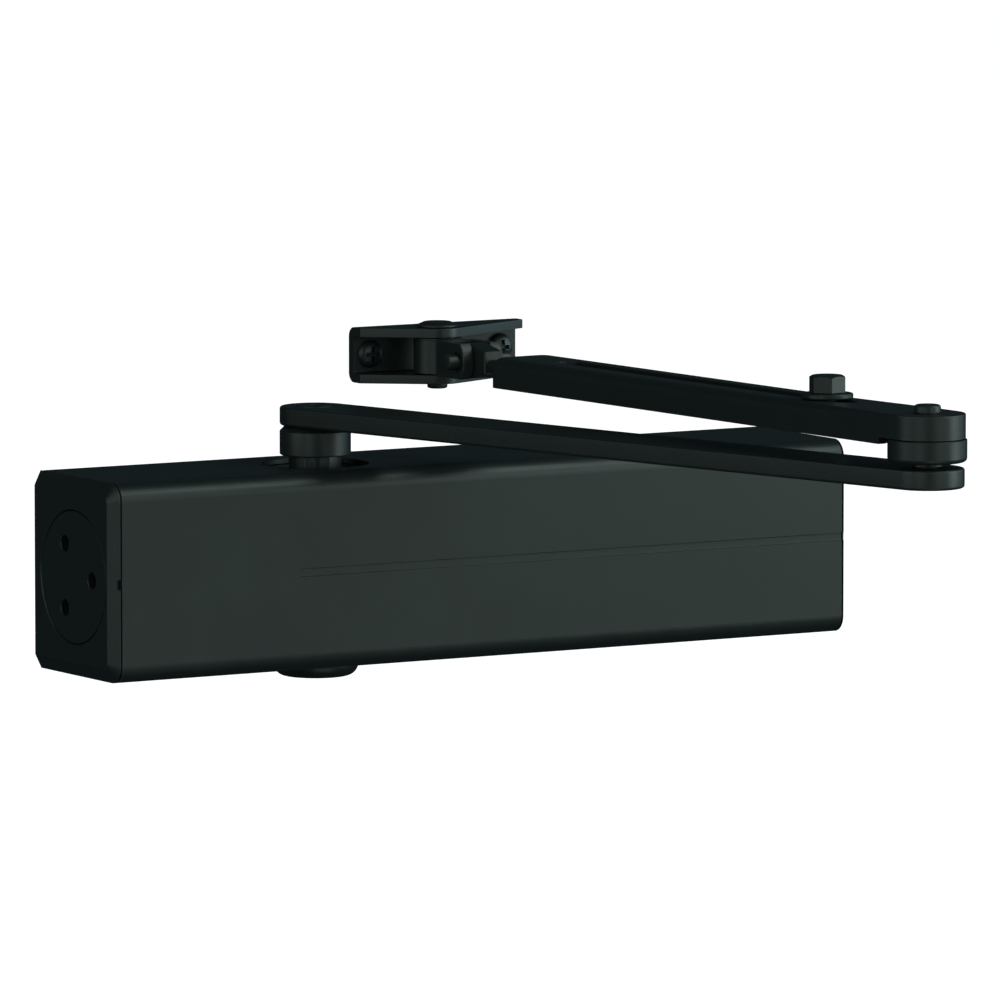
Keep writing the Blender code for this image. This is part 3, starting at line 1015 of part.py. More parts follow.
def make_bracket(materials, bracket_axis):
    """Channel bracket with its pin, washers and two screws, in axes on the pivot pin."""
    solid = slab(bracket_plan(PIVOT_DEPTH), BRACKET_BOTTOM, BRACKET_TOP)

    def back_corner(edge):
        at_back = all(abs(vert.co.y - PIVOT_DEPTH) < 1e-6 for vert in edge.verts)
        along = abs(edge.verts[0].co.x - edge.verts[1].co.x) > BRACKET_LENGTH / 2
        return at_back and along
    bevel_edges(solid, back_corner, BRACKET_BEND, 4)
    bracket = make_object("frame_bracket", solid, materials["paint"], bracket_axis)
    inner_back = PIVOT_DEPTH - BRACKET_THICKNESS
    margin = 5 * MM
    channel = block((-PIVOT_FROM_LEFT - margin, -BRACKET_NOSE_RADIUS - margin, CHANNEL_LOW),
                    (BRACKET_LENGTH - PIVOT_FROM_LEFT + margin, inner_back, CHANNEL_HIGH))
    cut(bracket, make_object("bracket_channel", channel, parent=bracket_axis))
    pin_hole = rod(PIVOT_PIN_RADIUS + CLEAR, BRACKET_BOTTOM - MM, BRACKET_TOP + MM, SMALL_SIDES)
    cut(bracket, make_object("bracket_pin_hole", pin_hole, parent=bracket_axis))

    places = (("left", -PIVOT_FROM_LEFT + SCREW_FROM_END),
              ("right", BRACKET_LENGTH - PIVOT_FROM_LEFT - SCREW_FROM_END))
    for name, x in places:
        hole = rod(BRACKET_SCREW_RADIUS + CLEAR, inner_back - MM, PIVOT_DEPTH + MM, 16, "Y",
                   (x, 0.0, BRACKET_MIDDLE))
        cut(bracket, make_object(f"bracket_screw_hole_{name}", hole, parent=bracket_axis))
        head_back = inner_back - CLEAR
        rise = 2.2 * MM
        profile = [(0.0, head_back - rise), (BRACKET_SCREW_HEAD * 0.6, head_back - rise * 0.92),
                   (BRACKET_SCREW_HEAD * 0.88, head_back - rise * 0.6), (BRACKET_SCREW_HEAD, head_back),
                   (BRACKET_SCREW_RADIUS, head_back), (BRACKET_SCREW_RADIUS, PIVOT_DEPTH - CLEAR),
                   (0.0, PIVOT_DEPTH - CLEAR)]
        screw = make_object(f"bracket_screw_{name}", turned(profile, 16, "Y", (x, 0.0, BRACKET_MIDDLE)),
                            materials["black_steel"], bracket_axis)
        tip = (x, head_back - rise, BRACKET_MIDDLE)
        cut(screw, cross_recess(f"bracket_recess_{name}", tip, 4.2 * MM, 1.1 * MM, 1.3 * MM, "Y", bracket_axis))

    head_low = BRACKET_TOP + CLEAR
    head_top = head_low + PIVOT_HEAD_HEIGHT
    tail_top = BRACKET_BOTTOM - CLEAR
    tail = tail_top - PIVOT_TAIL_LENGTH
    profile = [(0.0, tail), (PIVOT_TAIL_RADIUS - 0.5 * MM, tail), (PIVOT_TAIL_RADIUS, tail + 0.5 * MM),
               (PIVOT_TAIL_RADIUS, tail_top), (PIVOT_PIN_RADIUS, tail_top + 0.3 * MM),
               (PIVOT_PIN_RADIUS, head_low), (PIVOT_HEAD_RADIUS, head_low),
               (PIVOT_HEAD_RADIUS, head_low + 0.5 * MM), (PIVOT_HEAD_RADIUS - 2.0 * MM, head_top), (0.0, head_top)]
    make_object("pivot_pin", turned(profile, SIDES), materials["paint"], bracket_axis)
    spans = (("upper", BARREL_HIGH + CLEAR), ("lower", BARREL_LOW - CLEAR - PIVOT_WASHER))
    for name, low in spans:
        washer = ring(PIVOT_PIN_RADIUS + CLEAR, BARREL_RADIUS, low, low + PIVOT_WASHER, SIDES)
        make_object(f"pivot_washer_{name}", washer, materials["bronze"], bracket_axis)


def main():
    clear_scene()
    materials = make_materials()
    make_housing(materials["cast"])
    make_cover(materials["cover"])
    make_plug("left_end_plug", -1, materials["paint"], 0.0)
    make_plug("right_end_plug", 1, materials["paint"], POWER_SCREW_RADIUS + CLEAR)
    make_plug_seal("left_plug_seal", -1, materials["rubber"])
    make_plug_seal("right_plug_seal", 1, materials["rubber"])
    make_mount_screws(materials["steel"])
    make_valves(materials["bronze"])
    make_spindle_seats(materials)
    make_spindle_cap(materials["cover"])
    make_piston(materials)
    make_spring(materials["spring"])
    make_spring_adjuster(materials)

    arm_axis = make_empty("arm_axis", (SPINDLE_X, AXIS_Y, 0.0), ARM_ANGLE)
    elbow_axis = make_empty("elbow_axis", (ARM_LENGTH, 0.0, 0.0), FOREARM_ANGLE - ARM_ANGLE, arm_axis)
    slider_axis = make_empty("slider_axis", (0.0, 0.0, 0.0), 0.0, elbow_axis)
    tilt_axis = make_empty("tilt_axis", (CROSS_X, 0.0, CROSS_Z), 0.0, slider_axis)
    bracket_turn = -FOREARM_ANGLE
    bracket_axis = make_empty("bracket_axis", (CROSS_FROM_PIVOT, 0.0, -CROSS_Z), bracket_turn, tilt_axis)
    make_spindle(materials["black_steel"], arm_axis)
    make_main_arm(materials, arm_axis)
    make_elbow(materials, elbow_axis)
    make_forearm(materials["paint"], elbow_axis)
    make_slider(materials, slider_axis)
    make_clamp(materials, slider_axis)
    make_fork(materials, tilt_axis)
    make_bracket(materials, bracket_axis)


if __name__ == "__main__":
    main()
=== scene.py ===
import json
from math import acos, asin, atan2, cos, hypot, pi, radians, sin

import bmesh
import bpy
from bpy.props import FloatProperty, FloatVectorProperty, PointerProperty
from mathutils import Matrix, Vector


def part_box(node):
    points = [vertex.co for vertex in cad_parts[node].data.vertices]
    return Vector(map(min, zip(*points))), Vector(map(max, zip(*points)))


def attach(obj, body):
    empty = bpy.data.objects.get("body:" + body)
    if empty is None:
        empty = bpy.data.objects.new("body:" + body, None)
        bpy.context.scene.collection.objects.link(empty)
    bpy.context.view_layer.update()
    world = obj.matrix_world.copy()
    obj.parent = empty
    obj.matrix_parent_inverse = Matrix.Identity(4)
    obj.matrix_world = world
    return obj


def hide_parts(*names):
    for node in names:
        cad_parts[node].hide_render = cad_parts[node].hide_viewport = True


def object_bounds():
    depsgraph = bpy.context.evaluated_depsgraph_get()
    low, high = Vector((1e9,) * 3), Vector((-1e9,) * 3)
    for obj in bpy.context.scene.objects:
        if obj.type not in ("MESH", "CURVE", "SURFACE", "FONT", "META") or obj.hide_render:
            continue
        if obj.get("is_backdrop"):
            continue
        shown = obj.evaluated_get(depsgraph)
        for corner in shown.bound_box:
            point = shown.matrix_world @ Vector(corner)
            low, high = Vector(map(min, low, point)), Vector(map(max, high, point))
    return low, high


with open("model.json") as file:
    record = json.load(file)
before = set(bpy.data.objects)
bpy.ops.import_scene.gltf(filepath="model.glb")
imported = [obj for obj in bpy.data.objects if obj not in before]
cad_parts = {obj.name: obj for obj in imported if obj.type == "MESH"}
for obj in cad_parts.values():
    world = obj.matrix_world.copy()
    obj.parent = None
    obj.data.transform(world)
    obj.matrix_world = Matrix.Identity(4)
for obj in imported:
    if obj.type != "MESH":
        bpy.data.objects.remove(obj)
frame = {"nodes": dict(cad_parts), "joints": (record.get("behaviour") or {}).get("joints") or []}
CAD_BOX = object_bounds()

bl_info = {
    "name": "Door Closer Maker",
    "version": (1, 0, 0),
    "blender": (4, 5, 0),
    "location": "3D View > Sidebar > Door Closer",
    "description": "Builds the visible pieces of an overhead door closer around its fixed frame",
    "category": "Object",
}

MM = 0.001
GAP = 0.3 * MM                        # clearance between pieces that touch
ROUND = 96                            # steps round a large turned piece
SMALL_ROUND = 48
SHARP = radians(24.0)                 # an edge that turns more than this is shaded sharp

# sizes that the pieces share
COVER_JOINT = 0.5 * MM                # gap between the cover and each end rim
SQUARE_HALF = 5.0 * MM + GAP          # half of the square hole over the spindle
ELBOW_PIN = 3.0 * MM
PIVOT_PIN = 3.4 * MM
CLIP_RECESS = 5.2 * MM                # radius of the recess under the main arm's end
CLIP_RECESS_DEPTH = 1.8 * MM
NOTCH_END = 8.7 * MM                  # elbow to the end of the forearm's side walls
HUB_ROOM = 0.7 * MM
HUB_TO_POCKET = 3.0 * MM
SLIDER_THICKNESS = 3.6 * MM
SLIDER_INSIDE = 4.0 * MM              # open end of the forearm to the slider's bar
EAR_ROOT = 2.2 * MM                   # plate that joins the two ears of the fork
BOLT_TURN = radians(-21.7)            # turn of the clamp bolt's hexagon


# ---- the frame's own places ----
def joint_named(name):
    for joint in frame["joints"]:
        if joint["name"] == name:
            return joint
    raise RuntimeError(f"the frame has no joint {name}")


def place_of(name):
    return Vector(joint_named(name)["pos_m"])


def axis_of(name):
    return Vector(joint_named(name)["axis"]).normalized()


def along(origin, heading):
    """Frame with its X axis along a level heading, its Z axis up and its origin at height zero."""
    turn = atan2(heading.y, heading.x)
    return Matrix.Translation((origin.x, origin.y, 0.0)) @ Matrix.Rotation(turn, 4, "Z")


def extent(node, place):
    """Lowest and highest corner of a node in a local frame."""
    back = place.inverted()
    points = [back @ vert.co for vert in frame["nodes"][node].data.vertices]
    low = Vector([min(point[axis] for point in points) for axis in range(3)])
    high = Vector([max(point[axis] for point in points) for axis in range(3)])
    return low, high


SPINDLE = place_of("arm_swing")
ELBOW = place_of("elbow_hinge")
PIVOT = place_of("bracket_swivel")
ARM_PLACE = along(SPINDLE, ELBOW - SPINDLE)
REACH_PLACE = along(ELBOW, axis_of("reach_slide"))
PIVOT_PLACE = along(PIVOT, Vector((1.0, 0.0, 0.0)))


# ---- sizes and colours a maker may change ----
def size(label, text, default, high=60.0):
    """A length in millimetres."""
    return FloatProperty(name=label, description=text, default=default, min=0.0, max=high, precision=2)


def colour(label, text, default):
    return FloatVectorProperty(name=label, description=text, default=default, size=3, min=0.0, max=1.0,
                               subtype="COLOR")


def share(label, text, default):
    return FloatProperty(name=label, description=text, default=default, min=0.0, max=1.0, subtype="FACTOR")


class CloserBodySizes(bpy.types.PropertyGroup):
    """Sizes of the body, its cover, plugs and cap, in millimetres."""

    front_radius: size("Front corner", "Radius of the cover's two front corners", 5.3)
    cover_wall: size("Cover wall", "Thickness of the cover", 1.5)
    chamfer_length: size("End chamfer length", "Length of the end chamfer along the body", 2.1)
    chamfer_side: size("End chamfer side", "How far the end chamfer cuts in from each side", 4.35)
    opening_radius: size("Opening radius", "Radius of the cover's openings over the spindle", 16.3)
    groove_height: size("Groove height", "Height of the long groove in the cover", 2.5)
    groove_depth: size("Groove depth", "Depth of the long groove in the cover", 0.5)
    groove_start: size("Groove start", "Left end of the body to the groove", 62.6, 200.0)
    pry_height: size("Pry slot height", "Height of the slot in the body's left rim", 3.0)
    pry_length: size("Pry slot length", "Length of the slot in the body's left rim", 0.7)
    hole_radius: size("Spanner hole", "Radius of the three holes in each end plug", 2.5)
    hole_circle: size("Spanner circle", "Radius of the circle that the holes lie on", 11.2)
    hole_depth: size("Spanner hole depth", "Depth of the holes in each end plug", 5.0)
    cap_round: size("Cap rounding", "Radius of the cap's lower edge", 3.8)


class CloserArmSizes(bpy.types.PropertyGroup):
    """Sizes of the arms, elbow, slider, fork and bracket, in millimetres."""

    collar_chamfer: size("Collar chamfer", "Chamfer round the top of the spindle collar", 1.4)
    arm_top_edge: size("Arm top edge", "Rounding of the main arm's upper edges", 0.7)
    arm_low_edge: size("Arm lower edge", "Rounding of the main arm's lower edges", 0.9)
    hub_fillet: size("Hub fillet", "Rounding under the elbow hub", 1.4)
    forearm_bend: size("Forearm bend", "Radius where the forearm's top turns down into its sides", 3.2)
    forearm_wall: size("Forearm wall", "Thickness of the pressed forearm", 2.0)
    slot_start: size("Slot start", "Elbow to the near end of the slot", 36.5, 200.0)
    slot_end: size("Slot end", "Elbow to the far end of the slot", 186.5, 250.0)
    slot_width: size("Slot width", "Width of the forearm's slot", 6.8)
    bolt_flats: size("Bolt flats", "Distance across the flats of the clamp bolt's head", 9.6)
    bolt_radius: size("Bolt radius", "Radius of the clamp bolt's shank", 3.0)
    bracket_plate: size("Bracket plate", "Thickness of the bracket's plate", 2.7)
    bracket_end: size("Bracket end", "Depth of the bracket's flanges at their two ends", 7.0)
    bracket_bend: size("Bracket bend", "Outer radius where the flanges leave the back plate", 3.0)
    pivot_flat: size("Pivot flat", "Radius of the flat on the pivot pin's head", 4.0)


class CloserColours(bpy.types.PropertyGroup):
    """Colours and finish of the enamel and the metals."""

    enamel: colour("Enamel", "Colour of the satin enamel", (0.0125, 0.0155, 0.0148))
    enamel_rough: share("Enamel roughness", "How dull the enamel is", 0.40)
    enamel_gloss: share("Enamel gloss level", "Specular level of the enamel", 0.5)
    worn: colour("Worn edge", "Colour of the enamel along its edges", (0.030, 0.036, 0.036))
    black_steel: colour("Black steel", "Colour of the blackened screws", (0.030, 0.034, 0.036))
    bright_steel: colour("Bright steel", "Colour of plain steel", (0.50, 0.51, 0.52))
    bronze: colour("Bronze", "Colour of the bearings and valves", (0.42, 0.26, 0.11))
    rubber: colour("Rubber", "Colour of the seals", (0.012, 0.012, 0.013))
    floor: colour("Floor", "Colour of the studio floor", (0.90, 0.90, 0.90))


def settings():
    return bpy.context.scene.closer_body, bpy.context.scene.closer_arm, bpy.context.scene.closer_colours


# ---- finishes ----
def node_of(tree, kind, **inputs):
    node = tree.nodes.new(kind)
    for name, value in inputs.items():
        node.inputs[name.replace("_", " ")].default_value = value
    return node


def noise(tree, where, scale, detail=4.0):
    node = node_of(tree, "ShaderNodeTexNoise", Scale=scale, Detail=detail)
    tree.links.new(where, node.inputs["Vector"])
    return node.outputs["Fac"]


def spread(tree, value, low, high):
    """Map a noise value onto a narrow range."""
    node = node_of(tree, "ShaderNodeMapRange")
    node.inputs["From Min"].default_value = 0.3
    node.inputs["From Max"].default_value = 0.7
    node.inputs["To Min"].default_value = low
    node.inputs["To Max"].default_value = high
    tree.links.new(value, node.inputs["Value"])
    return node.outputs["Result"]


def blended(tree, share_of, first, second):
    """Colour that runs from first to second."""
    node = tree.nodes.new("ShaderNodeMix")
    node.data_type = "RGBA"
    sockets = {socket.identifier: socket for socket in node.inputs}
    for key, value in (("A_Color", first), ("B_Color", second)):
        if isinstance(value, bpy.types.NodeSocket):
            tree.links.new(value, sockets[key])
        else:
            sockets[key].default_value = (*value, 1.0)
    tree.links.new(share_of, sockets["Factor_Float"])
    return next(socket for socket in node.outputs if socket.identifier == "Result_Color")


def edge_share(tree, width):
    """How close a point lies to an outer edge, from the difference between rounded and true normals."""
    rounded = node_of(tree, "ShaderNodeBevel", Radius=width)
    rounded.samples = 4
    true = tree.nodes.new("ShaderNodeNewGeometry")
    dot = tree.nodes.new("ShaderNodeVectorMath")
    dot.operation = "DOT_PRODUCT"
    tree.links.new(rounded.outputs["Normal"], dot.inputs[0])
    tree.links.new(true.outputs["Normal"], dot.inputs[1])
    ramp = tree.nodes.new("ShaderNodeMapRange")
    for name, value in (("From Min", 0.995), ("From Max", 0.90), ("To Min", 0.0), ("To Max", 1.0)):
        ramp.inputs[name].default_value = value
    tree.links.new(dot.outputs["Value"], ramp.inputs["Value"])
    return ramp.outputs["Result"]


def finish_of(name, tint, rough, metallic=0.0, gloss=0.5, grain=1500.0, depth=0.012, tone=0.10,
              wear=None, coat=0.0):
    """Material with a fine grain, uneven roughness, a slight drift of tone and worn edges."""
    material = bpy.data.materials.get(name)
    if material:
        return material
    material = bpy.data.materials.new(name)
    material.use_nodes = True
    tree = material.node_tree
    shader = tree.nodes["Principled BSDF"]
    shader.inputs["Metallic"].default_value = metallic
    shader.inputs["Specular IOR Level"].default_value = gloss
    shader.inputs["Coat Weight"].default_value = coat
    where = tree.nodes.new("ShaderNodeTexCoord").outputs["Object"]
    drift = spread(tree, noise(tree, where, 22.0, 3.0), 0.0, 1.0)
    darker = [part * (1.0 - tone) for part in tint]
    lighter = [min(part * (1.0 + tone), 1.0) for part in tint]
    base = blended(tree, drift, darker, lighter)
    if wear is not None:
        edge = tree.nodes.new("ShaderNodeMath")
        edge.operation = "MULTIPLY"
        tree.links.new(edge_share(tree, 0.35 * MM), edge.inputs[0])
        tree.links.new(spread(tree, noise(tree, where, 160.0, 5.0), 0.0, 0.8), edge.inputs[1])
        base = blended(tree, edge.outputs["Value"], base, wear)
    tree.links.new(base, shader.inputs["Base Color"])
    patch = spread(tree, noise(tree, where, 85.0, 6.0), rough * 0.93, rough * 1.07)
    tree.links.new(patch, shader.inputs["Roughness"])
    bump = node_of(tree, "ShaderNodeBump", Strength=1.0, Distance=depth * MM)
    tree.links.new(noise(tree, where, grain, 2.0), bump.inputs["Height"])
    tree.links.new(bump.outputs["Normal"], shader.inputs["Normal"])
    material.diffuse_color = (*tint, 1.0)
    return material


def satin_enamel():
    tones = settings()[2]
    return finish_of("satin_enamel", tones.enamel, tones.enamel_rough, gloss=tones.enamel_gloss,
                     wear=tones.worn)


def blackened_steel():
    return finish_of("blackened_steel", settings()[2].black_steel, 0.38, metallic=0.55, grain=900.0,
                     wear=(0.10, 0.11, 0.11))


def plain_steel():
    return finish_of("plain_steel", settings()[2].bright_steel, 0.28, metallic=1.0, grain=700.0, tone=0.06)


def bearing_bronze():
    return finish_of("bearing_bronze_finish", settings()[2].bronze, 0.38, metallic=1.0, grain=600.0,
                     tone=0.12)


def seal_rubber():
    return finish_of("seal_rubber_finish", settings()[2].rubber, 0.75, gloss=0.35, grain=1100.0, depth=0.03)


FINISHES = {"cover_enamel": satin_enamel, "dark_enamel": satin_enamel, "cast_alloy": satin_enamel,
            "black_steel": blackened_steel, "bright_steel": plain_steel, "bearing_bronze": bearing_bronze}


# ---- making shapes ----
def arc(centre, radius, start, end, steps):
    """Points on an arc, both ends included."""
    turns = [start + (end - start) * index / steps for index in range(steps + 1)]
    return [(centre[0] + radius * cos(turn), centre[1] + radius * sin(turn)) for turn in turns]


def turned_to(axis):
    """Rotation that takes the Z axis to the named axis."""
    if axis == "X":
        return Matrix.Rotation(pi / 2, 4, "Y")
    if axis == "Y":
        return Matrix.Rotation(-pi / 2, 4, "X")
    return Matrix.Identity(4)


def lathe(profile, centre=(0.0, 0.0, 0.0), axis="Z", steps=ROUND, closed=False):
    """Spin a profile of (radius, height) points about an axis through centre."""
    shape = bmesh.new()
    points = [shape.verts.new((radius, 0.0, height)) for radius, height in profile]
    edges = [shape.edges.new(pair) for pair in zip(points, points[1:])]
    if closed:
        edges.append(shape.edges.new((points[-1], points[0])))
    bmesh.ops.spin(shape, geom=points + edges, cent=(0, 0, 0), axis=(0, 0, 1), angle=2 * pi, steps=steps,
                   use_merge=True)
    bmesh.ops.remove_doubles(shape, verts=shape.verts, dist=1e-7)
    bmesh.ops.transform(shape, verts=shape.verts, matrix=Matrix.Translation(centre) @ turned_to(axis))
    return shape


def turned(inner, outer, low, high, edge):
    """Profile of a plain turned piece whose two outer corners are chamfered."""
    return [(inner, low), (outer - edge, low), (outer, low + edge), (outer, high - edge),
            (outer - edge, high), (inner, high)]


def rod(radius, low, high, centre=(0.0, 0.0, 0.0), axis="Z", edge=0.0, steps=SMALL_ROUND):
    """Solid round bar, with its two end edges chamfered."""
    if edge:
        profile = turned(0.0, radius, low, high, edge)
    else:
        profile = [(0.0, low), (radius, low), (radius, high), (0.0, high)]
    return lathe(profile, centre, axis, steps)


def drill(radius, low, high, centre=(0.0, 0.0, 0.0), axis="Z", flare=0.15 * MM, steps=SMALL_ROUND):
    """Cutter for a round hole whose two mouths, at low and high, are slightly countersunk."""
    out = 1.0 * MM
    profile = [(0.0, low - out), (radius + flare + out, low - out), (radius, low + flare),
               (radius, high - flare), (radius + flare + out, high + out), (0.0, high + out)]
    return lathe(profile, centre, axis, steps)


def bar(low, high):
    """Square-edged block between two corners."""
    shape = bmesh.new()
    low, high = Vector(low), Vector(high)
    bmesh.ops.create_cube(shape, size=1.0, matrix=Matrix.Translation((low + high) / 2)
                          @ Matrix.Diagonal((*(high - low), 1.0)))
    return shape


def plate(outline, low, high):
    """Flat plate with an outline in X and Y between two heights."""
    shape = bmesh.new()
    face = shape.faces.new([shape.verts.new((x, y, low)) for x, y in outline])
    raised = bmesh.ops.extrude_face_region(shape, geom=[face])["geom"]
    raised = [item for item in raised if isinstance(item, bmesh.types.BMVert)]
    bmesh.ops.translate(shape, verts=raised, vec=(0.0, 0.0, high - low))
    bmesh.ops.recalc_face_normals(shape, faces=shape.faces)
    return shape


def loft(stations):
    """Solid through sections in (Y, Z), each at its own X, with the same number of points."""
    shape = bmesh.new()
    loops = [[shape.verts.new((x, y, z)) for y, z in section] for x, section in stations]
    for first, second in zip(loops, loops[1:]):
        for index, corner in enumerate(first):
            after = (index + 1) % len(first)
            shape.faces.new((corner, first[after], second[after], second[index]))
    shape.faces.new(loops[0])
    shape.faces.new(loops[-1])
    bmesh.ops.recalc_face_normals(shape, faces=shape.faces)
    return shape


def rounded(shape, chosen, width, steps=3):
    """Round the chosen edges."""
    edges = [edge for edge in shape.edges if chosen(edge)]
    bmesh.ops.bevel(shape, geom=edges, offset=width, offset_type="OFFSET", segments=steps, profile=0.5,
                    affect="EDGES", clamp_overlap=True)
    return shape


def at_height(height):
    """Test for edges that lie level at a height."""
    return lambda edge: all(abs(vert.co.z - height) < 1e-6 for vert in edge.verts)


def upright(edge):
    """Test for edges that stand straight up."""
    first, second = (vert.co for vert in edge.verts)
    return hypot(first.x - second.x, first.y - second.y) < 1e-6


def moved(shape, matrix):
    bmesh.ops.transform(shape, verts=shape.verts, matrix=matrix)
    return shape


def temporary(shape):
    mesh = bpy.data.meshes.new("helper")
    bmesh.ops.recalc_face_normals(shape, faces=shape.faces)
    shape.to_mesh(mesh)
    shape.free()
    helper = bpy.data.objects.new("helper", mesh)
    bpy.context.scene.collection.objects.link(helper)
    return helper


def worked(base, joins=(), cuts=()):
    """The base shape with some shapes joined on and others cut out, as a new shape."""
    solid = temporary(base)
    helpers = []
    for operation, shapes in (("UNION", joins), ("DIFFERENCE", cuts)):
        for shape in shapes:
            helper = temporary(shape)
            step = solid.modifiers.new("step", "BOOLEAN")
            step.operation = operation
            step.solver = "EXACT"
            step.object = helper
            helpers.append(helper)
    evaluated = solid.evaluated_get(bpy.context.evaluated_depsgraph_get())
    result = bmesh.new()
    result.from_mesh(evaluated.to_mesh())
    evaluated.to_mesh_clear()
    for helper in [solid] + helpers:
        mesh = helper.data
        bpy.data.objects.remove(helper, do_unlink=True)
        bpy.data.meshes.remove(mesh)
    bmesh.ops.remove_doubles(result, verts=result.verts, dist=2e-6)
    bmesh.ops.dissolve_degenerate(result, edges=result.edges, dist=2e-6)
    return result


def add_piece(name, shape, body, nodes, slot, place=None, material=None):
    """Make a shape a piece that rides on a body, stands for CAD nodes and has the finish of its slot."""
    if place is not None:
        moved(shape, place)
    bmesh.ops.recalc_face_normals(shape, faces=shape.faces)
    mesh = bpy.data.meshes.new(name)
    shape.to_mesh(mesh)
    shape.free()
    mesh.materials.append(material or FINISHES[slot]())
    mesh.shade_smooth()
    mesh.set_sharp_from_angle(angle=SHARP)
    piece = bpy.data.objects.new(name, mesh)
    bpy.context.scene.collection.objects.link(piece)
    weighting = piece.modifiers.new("face_weighting", "WEIGHTED_NORMAL")
    weighting.keep_sharp = True
    weighting.weight = 90
    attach(piece, body)
    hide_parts(*nodes)
    return piece


# ---- body ----
def body_section(half, front, radius, back=0.0, steps=12):
    """Section of the body in (Y, Z): square back corners and rounded front corners."""
    lower = arc((front + radius, -half + radius), radius, -pi / 2, -pi, steps)
    upper = arc((front + radius, half - radius), radius, pi, pi / 2, steps)
    return [(back, -half)] + lower + upper + [(back, half)]


def middle_of(node):
    low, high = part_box(node)
    return (low + high) / 2


def radius_of(node, axis=1):
    low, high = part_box(node)
    return (high[axis] - low[axis]) / 2


class CloserHousing(bpy.types.Operator):
    """Cast body with chamfered ends, its cylinder bore and its spindle bore"""

    bl_idname = "closer.housing"
    bl_label = "Housing"

    def execute(self, context):
        sizes = context.scene.closer_body
        low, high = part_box("housing")
        end, half, front = high.x, high.z, low.y
        radius = sizes.front_radius * MM
        side = sizes.chamfer_side * MM
        wall = sizes.cover_wall * MM
        chamfer_end = end - sizes.chamfer_length * MM
        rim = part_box("cover")[1].x + COVER_JOINT
        full = body_section(half, front, radius)
        face = body_section(half - side, front + side, 1.6 * MM)
        core = body_section(half - wall - GAP, front + wall + GAP, radius - wall)
        base = loft([(-chamfer_end, core), (chamfer_end, core)])
        flanges = [loft([(way * end, face), (way * chamfer_end, full), (way * rim, full)]) for way in (-1, 1)]
        centre = (0.0, SPINDLE.y, 0.0)
        plug_hole = radius_of("left_end_plug") + GAP
        bore = radius_of("spring_seat") + 2 * GAP
        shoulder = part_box("right_end_plug")[0].x - GAP
        beyond = end + 5 * MM
        lip = 0.25 * MM
        cylinder = [(0.0, -beyond), (plug_hole + beyond - end + lip, -beyond), (plug_hole, -end + lip),
                    (plug_hole, -shoulder), (bore, -shoulder), (bore, shoulder), (plug_hole, shoulder),
                    (plug_hole, end - lip), (plug_hole + beyond - end + lip, beyond), (0.0, beyond)]
        cuts = [lathe(cylinder, centre, "X", 128)]
        spindle_bore = radius_of("upper_bearing") + GAP
        cuts.append(rod(spindle_bore, -half, half, (SPINDLE.x, SPINDLE.y, 0.0), steps=ROUND))
        for level in ("upper", "lower"):
            for hand in ("left", "right"):
                node = f"mounting_screw_{level}_{hand}"
                spot = middle_of(node)
                head = radius_of(node, 0) + GAP
                shank = radius_of(node, 0) * 0.62 + GAP
                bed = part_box(node)[0].y + 3.6 * MM
                profile = [(0.0, front), (head, front), (head, bed + GAP), (shank, bed + GAP), (shank, MM),
                           (0.0, MM)]
                cuts.append(lathe(profile, (spot.x, 0.0, spot.z), "Y", SMALL_ROUND))
        for node in ("closing_valve", "latching_valve", "backcheck_valve"):
            spot = middle_of(node)
            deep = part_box(node)[1].y + GAP
            cuts.append(rod(radius_of(node, 0) + GAP, front, deep, (spot.x, 0.0, spot.z), "Y"))
        notch = sizes.pry_height * MM / 2
        cuts.append(bar((-rim - sizes.pry_length * MM, front - MM, -notch), (MM - rim, front + wall, notch)))
        cuts.append(long_groove(sizes, front))
        shape = worked(base, flanges, cuts)
        add_piece("housing_casting", shape, "housing", ["housing"], "cast_alloy")
        return {"FINISHED"}


def long_groove(sizes, front):
    """Tool that cuts the shallow groove from its round left end out through the right end."""
    start = -CAD_BOX[1].x + sizes.groove_start * MM
    reach = sizes.groove_height * MM / 2
    depth = sizes.groove_depth * MM
    outline = arc((start + reach, 0.0), reach, pi / 2, 3 * pi / 2, 20)
    outline += [(CAD_BOX[1].x + MM, -reach), (CAD_BOX[1].x + MM, reach)]
    groove = plate(outline, -MM, depth)
    rounded(groove, at_height(depth), 0.25 * MM, 3)
    moved(groove, Matrix.Translation((0.0, front, 0.0)) @ Matrix.Rotation(pi / 2, 4, "X")
          @ Matrix.Scale(-1, 4, (0, 0, 1)))
    return groove


